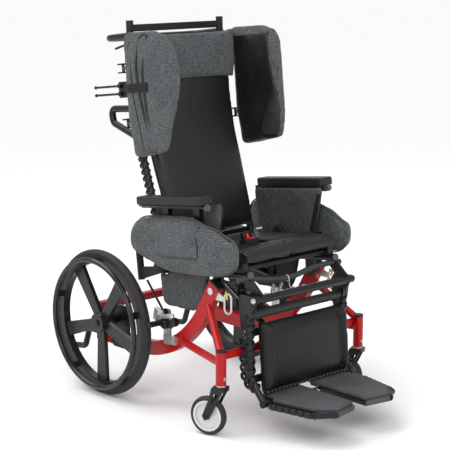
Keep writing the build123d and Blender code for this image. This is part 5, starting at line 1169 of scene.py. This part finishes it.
class CHAIR_OT_small_fittings(bpy.types.Operator):
    """Makes the bolts, bushes, cross rod, cable tie, rail caps, tags and castor spacers."""

    bl_idname = "chair.small_fittings"
    bl_label = "Small fittings"

    def execute(self, context):
        both = SIDES.values()
        bolts = [bolt("bolt", (side * 0.2268, 0, 0), (side, 0, 0), 0.0092, 0.006, LEG) for side in both]
        rods = [bolt("bolt", (side * 0.2015, ROD_Y, ROD_Z), (side, 0, 0), 0.0062, 0.005, SEAT) for side in both]
        fitting("leg_pivot_bolts", bolts, "zinc", "legrest")
        sleeve = crossbar("legrest_sleeve", -0.204, 0.204, 0.0425, -0.054, 0.0155, 0.003, 40, LEG)
        dress(sleeve, "grey_bar", "legrest")
        cable = line("cable_bundle", [(x, BUNDLE_Y, z) for x, z in BUNDLE], 0.0092, place=SEAT, sides=5)
        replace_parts(dress(cable, "cable", "seat"), "control_cables")
        rods.insert(0, crossbar("rod", -0.192, 0.192, ROD_Y, ROD_Z, 0.0022, 0.0005, 16, SEAT))
        rods += [crossbar("bush", x - 0.006, x + 0.006, ROD_Y, ROD_Z, 0.0054, 0.001, 20, SEAT) for x in BUSHES]
        for x in BUSHES[1:3]:
            rods.append(slab("link", (0.004, 0.012, 0.032), (x, -0.149, -0.004), 0.0016, 2, SEAT, (0.5, 0, 0)))
        fitting("leg_release_rod", rods, "zinc", "seat")
        caps = [round_bar("cap", (side * 0.196, -0.1372, 0.0485), (side * 0.196, -0.1312, 0.0485),
                          0.0132, bevel=0.002, place=SEAT) for side in both]
        fitting("rail_end_caps", caps, "cap", "seat")
        loop = [(TIE_X, BUNDLE_Y + TIE_REACH * math.cos(turn), TIE_Z + TIE_REACH * math.sin(turn))
                for turn in [step * math.pi / 4 for step in range(8)]]
        ties = [line("tie", loop, 0.0014, closed=True, place=SEAT), line("tail", TIE_TAIL, 0.0011, place=SEAT)]
        fitting("cable_tie", ties, "white", "seat")
        for name, side in SIDES.items():
            x, y, z = side * 0.320, -0.327082, 0.171
            ring = round_bar("ring", (x, y, z - 0.0058), (x, y, z - 0.0004), 0.0148, 0.0012)
            dress(named(ring, f"castor_spacer_{name}"), "white", "base")
            clamp = round_bar("clamp", (x, y, z + 0.1085), (x, y, z + 0.1130), 0.0172, 0.0012)
            dress(named(clamp, f"post_band_{name}"), "moulded", "base")
            screw = bolt("screw", (x, y - 0.0158, z + 0.022), (0, -1, 0), 0.0055, 0.004)
            dress(named(screw, f"post_screw_{name}"), "zinc", "base")
            tag = line("tag", [(side * spot[0], *spot[1:]) for spot in TAG], 0.0034, sides=2)
            dress(named(tag, f"tie_down_tag_{name}"), "yellow", "base")
        bar = crossbar("calf_hinge_bar", -0.196, 0.196, 0.020, HINGE_Z, 0.0062, 0.001, 16, FOOT)
        dress(bar, "moulded", "legrest")
        beads = [crossbar("bead", x / 1000, x / 1000 + 0.006, 0.0125, HINGE_Z, 0.0032, 0.0008, 10, FOOT)
                 for x in range(-188, 186, 17)]
        fitting("calf_hinge_beads", beads, "cap", "legrest")
        pegs = [bolt("peg", (x / 1000, -0.0048, 0.0002), (0, -1, 0), 0.0034, 0.004, FOOT)
                for x in range(-180, 181, 40)]
        fitting("foot_hinge_pins", pegs, "zinc", "legrest")
        return {"FINISHED"}


# Each block of a wheel lock's casting by its size, its middle's (y, z) and its lean
LOCK_X = 0.281
CASTING = (
    ((0.014, 0.040, 0.046), (0.026, 0.322), 0.005, 0.25),
    ((0.010, 0.066, 0.015), (-0.022, 0.326), 0.004, -0.25),
    ((0.010, 0.040, 0.014), (0.018, 0.292), 0.004, 0.2),
    ((0.009, 0.044, 0.010), (0.062, 0.281), 0.004, -0.25),
)
# Each round boss and knob by its ends across, its (y, z), radius and edge
BOSSES = ((0.2722, 0.2905, 0.0149, 0.330, 0.012, 0.002), (0.275, 0.289, -0.048, 0.319, 0.010, 0.002))
KNOBS = ((0.272, 0.294, -0.014, 0.296, 0.014, 0.004), (0.270, 0.293, -0.056, 0.312, 0.015, 0.004))


class CHAIR_OT_wheel_locks(bpy.types.Operator):
    """Makes the silver casting, its link and the black knobs of both wheel locks."""

    bl_idname = "chair.wheel_locks"
    bl_label = "Wheel locks"

    def execute(self, context):
        for name, side in SIDES.items():
            x, body = side * LOCK_X, f"lock_{name}"
            cast = [slab("block", size, (x, *middle), edge, turn=(lean, 0, 0))
                    for size, middle, edge, lean in CASTING]
            cast += [crossbar("boss", side * low, side * high, *rest) for low, high, *rest in BOSSES]
            cast.append(bolt("bolt", (side * 0.2905, 0.0149, 0.330), (side, 0, 0), 0.0065, 0.003))
            fitting(f"lock_casting_{name}", cast, "silver", body)
            knobs = [crossbar("knob", side * low, side * high, *rest) for low, high, *rest in KNOBS]
            knobs.append(slab("cheek", (0.012, 0.030, 0.034), (x, -0.036, 0.306), 0.006, turn=(0.4, 0, 0)))
            fitting(f"lock_knobs_{name}", knobs, "moulded", body)
        return {"FINISHED"}


BELT_LEAN = (-0.30, 0, 0)
ADJUSTER_X = -0.060
BUCKLE_X = -0.105


class CHAIR_OT_belt_fittings(bpy.types.Operator):
    """Makes the belt's standing buckle, its red key, the pale adjuster and the loop at the far end."""

    bl_idname = "chair.belt_fittings"
    bl_label = "Belt fittings"

    def execute(self, context):
        height = (SEAT.inverted() @ Vector(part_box("buckle_button")[1])).z

        def upright(name, size, middle, edge, steps=2):
            x, y, z = middle
            return slab(name, size, (x, y, height + z), edge, steps, SEAT, BELT_LEAN)

        web = upright("belt_adjuster_web", (0.018, 0.006, 0.058), (ADJUSTER_X, -0.036, -0.008), 0.002)
        dress(web, "cap", "seat")
        bars = [upright("bar", (wide, 0.010, 0.007), (ADJUSTER_X, -0.039 - z * 0.3, z), 0.003, 3)
                for z, wide in ((-0.038, 0.030), (0.022, 0.026))]
        fitting("belt_adjuster", bars, "silver", "seat")
        frame = [upright("block", (0.036, 0.012, 0.044), (BUCKLE_X, -0.030, -0.004), 0.004, 3)]
        for x in (BUCKLE_X - 0.0175, BUCKLE_X + 0.0175):
            frame.append(upright("bar", (0.005, 0.016, 0.040), (x, -0.034, -0.004), 0.002))
        fitting("buckle_frame", frame, "moulded", "seat")
        key = upright("buckle_key", (0.011, 0.006, 0.019), (BUCKLE_X - 0.001, -0.0385, 0.0015), 0.002)
        dress(key, "button", "buckle_release")
        loop = crossbar("belt_loop", 0.190, 0.204, 0.130, height - 0.034, 0.027, 0.005, 32, SEAT)
        dress(loop, "webbing", "seat")
        return {"FINISHED"}


# The footplates' scalloped outer edge and the roll at their front corner, seen from above
FOOT_EDGE = ((0.190, -0.1800), (0.2205, -0.030))
FOOT_ROLL = ((0.127, -0.2255), (0.183, -0.1855))
LOBES = 6
FOOT_TOP = 0.0085


class CHAIR_OT_footplates(bpy.types.Operator):
    """Makes both footplates: the black tray with its scalloped rim and corner roll, and the grey pad on top."""

    bl_idname = "chair.footplates"
    bl_label = "Footplates"

    def execute(self, context):
        top = FOOT.translation.z + FOOT_TOP
        for name, side in SIDES.items():
            node, body = f"footplate_{name}", f"foot_{name}"
            pad = node_copy(node, f"foot_pad_{name}", lambda middle: middle.z > top)
            tray = node_copy(node, f"foot_tray_{name}", lambda middle: middle.z <= top)

            def inset(spot):
                wide = abs(spot.x)
                wide -= 0.018 * ramp(wide, 0.10, 0.19)
                deep = spot.y + 0.004 * ramp(-spot.y, 0.12, 0.2)
                return Vector((side * wide, deep, spot.z))

            reshaped(pad, FOOT, inset)
            for piece, width in ((pad, 0.0022), (tray, 0.0015)):
                smooth(rounded(piece, width, by_angle=True))
            dress(pad, "foot_pad", body)
            dress(tray, "moulded", body)
            tray.data.materials.append(FINISH["foot_pad"])
            for face in tray.data.polygons:
                spot = local_of(FOOT, face.center)
                face.material_index = 1 if abs(spot.x) < 0.127 and spot.y < -0.16 and spot.z > -0.009 else 0
            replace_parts(tray, node)
            ribs = [slab("rear", (0.150, 0.028, 0.010), (side * 0.112, 0.029, 0.0034), 0.003, 2, FOOT)]
            (x0, y0), (x1, y1) = FOOT_EDGE
            turn = (0, 0, side * math.atan2(y1 - y0, x1 - x0))
            for step in range(LOBES):
                share = (step + 0.5) / LOBES
                middle = (side * (x0 + (x1 - x0) * share), y0 + (y1 - y0) * share, 0.001)
                ribs.append(slab("lobe", (0.0250, 0.011, 0.0200), middle, 0.0054, 3, FOOT, turn))
            start, end = [Vector((side * x, y, 0.0005)) for x, y in FOOT_ROLL]
            ribs.append(round_bar("roll", start, end, 0.0095, 0.002, 24, FOOT))
            for spot, other in ((start, end), (end, start)):
                collar = spot + (other - spot).normalized() * 0.006
                ribs.append(round_bar("collar", spot, collar, 0.0118, 0.0018, 24, FOOT))
            fitting(f"foot_edge_lobes_{name}", ribs, "moulded", body)
        return {"FINISHED"}


class CHAIR_OT_finishes(bpy.types.Operator):
    """Builds the finishes and gives them to the frame's pieces."""

    bl_idname = "chair.finishes"
    bl_label = "Finishes"

    def execute(self, context):
        make_finishes()
        finish_cad_nodes()
        for node in NODES.values():
            smooth(node, 35)
        return {"FINISHED"}


# Each soft lamp's place, size and power, the photograph's frame, and the camera's place and aim
LAMPS = (((-2.8, -2.0, 2.6), 2.0, 46), ((0.4, -3.4, 3.0), 1.8, 30), ((1.6, 2.4, 3.0), 2.4, 24))
FRAME_PIXELS = 450
FOCAL_PIXELS = 1388.4
SENSOR = 36
CAMERA_AT = (-3.142, -3.423, 1.533)
CAMERA_AIM = (0.2511, 0.2769, 0.5167)


class CHAIR_OT_studio(bpy.types.Operator):
    """Makes the pale floor, the soft lights and the camera at the photograph's view."""

    bl_idname = "chair.studio"
    bl_label = "Studio"

    def execute(self, context):
        scene = context.scene
        bpy.ops.mesh.primitive_plane_add(size=120)
        floor = named(context.object, "floor")
        material = bpy.data.materials.new("pale floor")
        material.use_nodes = True
        shader = material.node_tree.nodes["Principled BSDF"]
        shader.inputs["Base Color"].default_value = (0.93, 0.93, 0.93, 1)
        shader.inputs["Roughness"].default_value = 0.9
        shader.inputs["Specular IOR Level"].default_value = 0.0
        floor.data.materials.append(material)
        world = bpy.data.worlds.new("studio")
        world.use_nodes = True
        tree = world.node_tree
        lit = tree.nodes["Background"]
        lit.inputs[0].default_value = (1, 1, 1, 1)
        lit.inputs[1].default_value = 0.55
        seen = add(tree, "ShaderNodeBackground", Color=(1, 1, 1, 1), Strength=1.0)
        rays = add(tree, "ShaderNodeLightPath")
        camera_ray = rays.outputs["Is Camera Ray"]
        both = add(tree, "ShaderNodeMixShader", i0=camera_ray, i1=lit.outputs[0], i2=seen.outputs[0])
        tree.links.new(both.outputs[0], tree.nodes["World Output"].inputs["Surface"])
        scene.world = world
        lean = (math.radians(-24), math.radians(-20), 0)
        bpy.ops.object.light_add(type="SUN", location=(0, 0, 4), rotation=lean)
        context.object.data.energy = 1.75
        context.object.data.angle = math.radians(50)
        aim = Vector((0.0, 0.0, 0.6))
        for at, size, power in LAMPS:
            bpy.ops.object.light_add(type="AREA", location=at)
            lamp = context.object
            lamp.data.size = size
            lamp.data.energy = power
            lamp.rotation_euler = (aim - Vector(at)).to_track_quat("-Z", "Y").to_euler()
        bpy.ops.object.camera_add(location=CAMERA_AT)
        camera = context.object
        camera.rotation_euler = (Vector(CAMERA_AIM) - camera.location).to_track_quat("-Z", "Y").to_euler()
        camera.data.sensor_width = SENSOR
        camera.data.lens = FOCAL_PIXELS / FRAME_PIXELS * SENSOR
        camera.data.clip_end = 200
        scene.camera = camera
        scene.view_settings.view_transform = "Standard"
        return {"FINISHED"}


OPERATORS = [
    CHAIR_OT_studio, CHAIR_OT_finishes, CHAIR_OT_cushion, CHAIR_OT_back_pad, CHAIR_OT_pillow, CHAIR_OT_wings,
    CHAIR_OT_side_panels, CHAIR_OT_arm_covers, CHAIR_OT_calf_pad, CHAIR_OT_straps, CHAIR_OT_small_fittings,
    CHAIR_OT_wheel_locks, CHAIR_OT_belt_fittings, CHAIR_OT_footplates,
]


class CHAIR_PT_panel(bpy.types.Panel):
    """Lists the chair's pieces in the sidebar."""

    bl_idname = "CHAIR_PT_panel"
    bl_label = "Wheelchair"
    bl_space_type = "VIEW_3D"
    bl_region_type = "UI"
    bl_category = "Wheelchair"

    def draw(self, context):
        for operator in OPERATORS:
            self.layout.operator(operator.bl_idname)
        for group in (context.scene.chair_sizes, context.scene.chair_colours):
            for key in group.bl_rna.properties.keys():
                if key not in ("rna_type", "name"):
                    self.layout.prop(group, key)


CLASSES = [ChairColours, ChairSizes, *OPERATORS, CHAIR_PT_panel]


def register():
    """Registers the classes and the two property groups."""
    for item in CLASSES:
        bpy.utils.register_class(item)
    bpy.types.Scene.chair_colours = bpy.props.PointerProperty(type=ChairColours)
    bpy.types.Scene.chair_sizes = bpy.props.PointerProperty(type=ChairSizes)


def unregister():
    """Removes what register added."""
    del bpy.types.Scene.chair_sizes
    del bpy.types.Scene.chair_colours
    for item in reversed(CLASSES):
        bpy.utils.unregister_class(item)


def main():
    """Makes every piece in order."""
    register()
    for operator in OPERATORS:
        space, call = operator.bl_idname.split(".")
        getattr(getattr(bpy.ops, space), call)()


if __name__ == "__main__":
    main()
